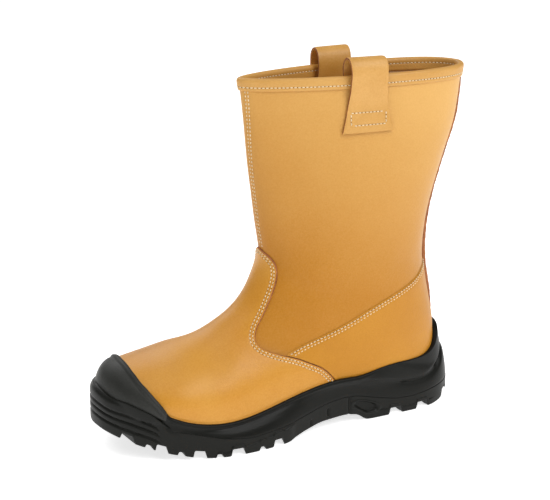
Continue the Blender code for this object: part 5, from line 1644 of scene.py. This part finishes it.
def build_tread(finish):
    """The tread: side wall with the toe's ribbed bumper, lugs, notches and the grooved underside."""
    tips = height(LUG_TIPS, ALONG)
    lift = groove_depth(ALONG, PLAN[:, 1])
    top = TREAD_TOP
    ups = np.zeros((len(ALONG), TREAD_STEPS))
    for k in range(TREAD_STEPS):
        share = k / (TREAD_STEPS - 1)
        late = smooth_step((share - TREAD_RAISED_FROM) / (1.0 - TREAD_RAISED_FROM))
        raised = share * (1.0 - BUMPER_BLEND) + late * BUMPER_BLEND
        ups[:, k] = top - TREAD_FIRST_DOWN + (tips + TREAD_LAST_UP - top) * share + lift * raised
    reach = bumper_reach(ups)
    out = np.zeros_like(reach)
    ribbed = smooth_step((ALONG - RIB_FROM) / RIB_RAMP)
    for k in range(TREAD_STEPS):
        relief = np.where(BUMPER_BLEND > 0.0, 0.0, wall_relief(ALONG, ups[:, k], tips + lift, PARTING_UP))
        f = (ups[:, k] - tips) / (top - tips)
        for line in RIB_LINES:
            relief = relief - RIB_DEPTH * bell((f - line) / RIB_HALF) * ribbed
        out[:, k] = reach[:, k] + relief
    rings = [
        sole_ring(CORE_INSET + TUCK, core_up(ALONG) - GAP / 2.0),
        sole_ring(EDGE_INSET + TUCK, edge_up(ALONG) - GAP / 2.0),
        sole_ring(LEDGE.inset - reach[:, 0] + BUMPER_BLEND * BUMPER_LEDGE, top - LEDGE.down),
    ]
    for row in TOP_ROUND:
        rings.append(sole_ring(row.inset - out[:, 0], top - row.down))
    for k in range(TREAD_STEPS):
        rings.append(sole_ring(TREAD_INSET - out[:, k], ups[:, k]))
    for row in LUG_ROUND:
        rings.append(sole_ring(row.inset - out[:, -1], tips + lift + row.up))
    spine_along = np.clip(ALONG, SPINE_FROM, SPINE_TO)
    medial_y = np.interp(-spine_along, -ALONG[TOE_COLUMN:], PLAN[TOE_COLUMN:, 1])
    spine = np.column_stack([spine_along, (lateral_edge(spine_along) + medial_y) / 2.0])
    edge = PLAN - OUT * (UNDER_INSET - out[:, -1])[:, None]
    for f in np.linspace(0.0, 1.0, UNDER_LINES):
        plan = edge + f * (spine - edge)
        up = height(LUG_TIPS, plan[:, 0]) + groove_depth(plan[:, 0], plan[:, 1])
        rings.append(np.column_stack([plan, up]))
    columns = len(ALONG)
    faces = grid_faces(len(rings), columns, wrap=True)
    faces.append(tuple(reversed(range(columns))))
    faces = [face[::-1] for face in faces]
    points = np.concatenate(rings)
    add_piece("tread", points, faces, [finish], None, ("outsole",), sharp=TREAD_SHARP)


def build_footbed(finish):
    """The footbed inside, with a soft edge."""
    s = np.linspace(HEEL_KNOT, 1.0, FOOTBED_LINES)
    around_toe = np.linspace(1.0, -1.0, FOOTBED_TOE_LINES)
    lateral = upper_points(s, np.ones_like(s))
    arc = upper_points(np.ones_like(around_toe), around_toe)[1:-1]
    medial = upper_points(s, -np.ones_like(s))[::-1]
    loop = np.concatenate([lateral, arc, medial[:-1]])
    turn = np.roll(loop, -1, axis=0) - np.roll(loop, 1, axis=0)
    inward = unit(np.stack([turn[:, 1], -turn[:, 0]], axis=1))
    edge = loop[:, :2] + inward * read(FOOTBED_INSET, loop[:, 0])[:, None]
    base = bottom_up(edge[:, 0])
    rings = [np.column_stack([edge, base + GAP + FOOTBED_BASE])]
    for row in FOOTBED_EDGE:
        rings.append(np.column_stack([edge + row.pull * inward, base + INSOLE - row.down]))
    spine = np.column_stack([np.clip(edge[:, 0], FOOTBED_FROM, FOOTBED_TO), np.zeros(len(edge))])
    for f in np.linspace(FOOTBED_FIRST, 1.0, FOOTBED_RINGS):
        plan = edge + FOOTBED_EDGE[-1].pull * inward + f * (spine - edge)
        rings.append(np.column_stack([plan, bottom_up(plan[:, 0]) + INSOLE]))
    faces = grid_faces(len(rings), len(edge), wrap=True)
    faces.append(tuple(reversed(range(len(edge)))))
    points = np.concatenate(rings)
    add_piece("footbed", points, faces, [finish], None, ("insole",), sharp=SHEET_SHARP)


def add_node(tree_of_nodes, kind, inputs=None, **settings):
    """A shader node with its settings; an input is a socket to link or a value to set."""
    made = tree_of_nodes.nodes.new(kind)
    for name, value in settings.items():
        setattr(made, name, value)
    for name, value in (inputs or {}).items():
        if isinstance(value, bpy.types.NodeSocket):
            tree_of_nodes.links.new(value, made.inputs[name])
        else:
            made.inputs[name].default_value = value
    return made


def set_inputs(shader, values):
    """Set the values of a shader node's inputs."""
    for name, value in values.items():
        shader.inputs[name].default_value = value


def make_finish(name):
    """A material that runs softly between two tones, with a fine grain standing out of its face.

    With painted shade, the tone is darker low and at the front of the boot, lighter at its top and back.
    """
    row = FINISHES[name]
    made = bpy.data.materials.new(name)
    made.use_nodes = True
    nodes = made.node_tree
    shader = nodes.nodes["Principled BSDF"]
    where = add_node(nodes, "ShaderNodeTexCoord").outputs["Object"]

    def noise(scale, detail, roughness=0.5):
        inputs = {"Vector": where, "Scale": scale, "Detail": detail, "Roughness": roughness}
        return add_node(nodes, "ShaderNodeTexNoise", inputs).outputs["Fac"]

    def mapped(value, low, high, to_low=0.0, to_high=1.0):
        inputs = {"Value": value, "From Min": low, "From Max": high, "To Min": to_low, "To Max": to_high}
        return add_node(nodes, "ShaderNodeMapRange", inputs).outputs["Result"]

    def sums(operation, *values):
        return add_node(nodes, "ShaderNodeMath", dict(enumerate(values)), operation=operation).outputs[0]

    broad = noise(row.patch, PATCH_DETAIL, PATCH_ROUGHNESS)
    spread = mapped(broad, *PATCH_RANGE)
    specks = noise(row.grain * SPECK_SCALE, SPECK_DETAIL)
    dots = mapped(specks, *SPECK_RANGE, -row.speckle, row.speckle)
    at = add_node(nodes, "ShaderNodeSeparateXYZ", {"Vector": where}).outputs
    # Painted shade and light: a tone that is darker lower down and further forward, lighter high and at the
    # back.
    high = mapped(sums("MULTIPLY_ADD", at["X"], PAINTED_SHADE_LEAN, at["Z"]), PAINTED_SHADE_LOW, PAINTED_SHADE_HIGH)
    blend = add_node(nodes, "ShaderNodeMix", {"Factor": row.fade, "A": spread, "B": high}).outputs["Result"]
    tone = add_node(nodes, "ShaderNodeMix", data_type="RGBA")
    nodes.links.new(sums("ADD", blend, dots), tone.inputs["Factor"])
    tone.inputs[MIX_DARK].default_value = (*row.dark, 1.0)
    tone.inputs[MIX_LIGHT].default_value = (*row.light, 1.0)
    nodes.links.new(tone.outputs[MIX_COLOUR], shader.inputs["Base Color"])
    cells = add_node(nodes, "ShaderNodeTexVoronoi", {"Vector": where, "Scale": row.grain, "Randomness": 1.0})
    grain = sums("ADD", cells.outputs["Distance"], noise(row.grain * PORE_SCALE, PORE_DETAIL))
    relief = {"Height": grain, "Distance": row.grain_depth, "Strength": GRAIN_STRENGTH}
    bump = add_node(nodes, "ShaderNodeBump", relief)
    nodes.links.new(bump.outputs["Normal"], shader.inputs["Normal"])
    worn = mapped(broad, *WORN_RANGE, row.roughness - ROUGHNESS_SPREAD, row.roughness + ROUGHNESS_SPREAD)
    nodes.links.new(worn, shader.inputs["Roughness"])
    set_inputs(shader, {
        "Specular IOR Level": row.shine,
        "Coat Weight": row.coat,
        "Coat Roughness": COAT_ROUGHNESS,
        "Sheen Weight": row.sheen,
    })
    return made


def build_boot():
    """All the boot's pieces, each with its finishes."""
    made = {name: make_finish(name) for name in FINISHES}
    raw = made["raw_leather_edge"]
    counter = [made["counter_leather"], raw]
    strap = [made["strap_leather"], raw]
    build_leg([made["tan_leather"], made["lining_leather"]])
    build_vamp([made["vamp_leather"], raw])
    build_counter("heel_panel_lateral", "counter_lateral", 1.0, counter)
    build_counter("heel_panel_medial", "counter_medial", -1.0, counter)
    build_welt(raw)
    build_band(made["binding_leather"])
    straps = {
        1.0: build_strap("pull_strap_lateral", "pull_loop_lateral", 1.0, strap),
        -1.0: build_strap("pull_strap_medial", "pull_loop_medial", -1.0, strap),
    }
    build_stitching(straps, [made["thread"], made["needle_hole_painted_shade"]])
    build_rand([made["rand_rubber"], made["cap_rubber_painted_sheen"]])
    build_tread(made["tread_rubber"])
    build_footbed(made["insole_board"])


def aim(thing, target):
    """Turn a light or the camera towards a target."""
    thing.rotation_euler = (Vector(target) - thing.location).to_track_quat("-Z", "Y").to_euler()


def build_floor():
    """The white floor, which belongs to the studio."""
    half = FLOOR_SIZE / 2.0
    corners = [(-half, -half, 0.0), (half, -half, 0.0), (half, half, 0.0), (-half, half, 0.0)]
    mesh = bpy.data.meshes.new("floor")
    mesh.from_pydata(corners, [], [(0, 1, 2, 3)])
    white = bpy.data.materials.new("floor_white")
    white.use_nodes = True
    set_inputs(white.node_tree.nodes["Principled BSDF"], {
        "Base Color": FLOOR_WHITE,
        "Roughness": FLOOR_ROUGHNESS,
        "Specular IOR Level": 0.0,
        "Emission Color": WHITE,
        "Emission Strength": FLOOR_GLOW,
    })
    mesh.materials.append(white)
    floor = bpy.data.objects.new("floor", mesh)
    bpy.context.scene.collection.objects.link(floor)


def build_lights():
    """The even surround and the soft lights."""
    world = bpy.data.worlds.new("studio")
    world.use_nodes = True
    set_inputs(world.node_tree.nodes["Background"], {"Color": WHITE, "Strength": WORLD_LIGHT})
    bpy.context.scene.world = world
    for row in LIGHTS:
        light = bpy.data.lights.new(row.name, "AREA")
        light.energy = row.watts
        light.size = row.size
        lamp = bpy.data.objects.new(row.name, light)
        lamp.location = (row.x, row.y, row.z)
        aim(lamp, LIGHT_TARGET)
        bpy.context.scene.collection.objects.link(lamp)


def build_camera():
    """The camera at the photo's angle."""
    camera_data = bpy.data.cameras.new("camera")
    camera_data.lens = CAMERA_LENS
    camera_data.sensor_width = CAMERA_SENSOR
    camera = bpy.data.objects.new("camera", camera_data)
    flat = CAMERA_DISTANCE * math.cos(CAMERA_RISE)
    rise = CAMERA_DISTANCE * math.sin(CAMERA_RISE)
    away = Vector((flat * math.sin(CAMERA_TURN), flat * math.cos(CAMERA_TURN), rise))
    camera.location = CAMERA_TARGET + away
    aim(camera, CAMERA_TARGET)
    bpy.context.scene.collection.objects.link(camera)
    bpy.context.scene.camera = camera
    bpy.context.scene.view_settings.view_transform = "Standard"


build_boot()
build_floor()
build_lights()
build_camera()
bpy.context.view_layer.update()
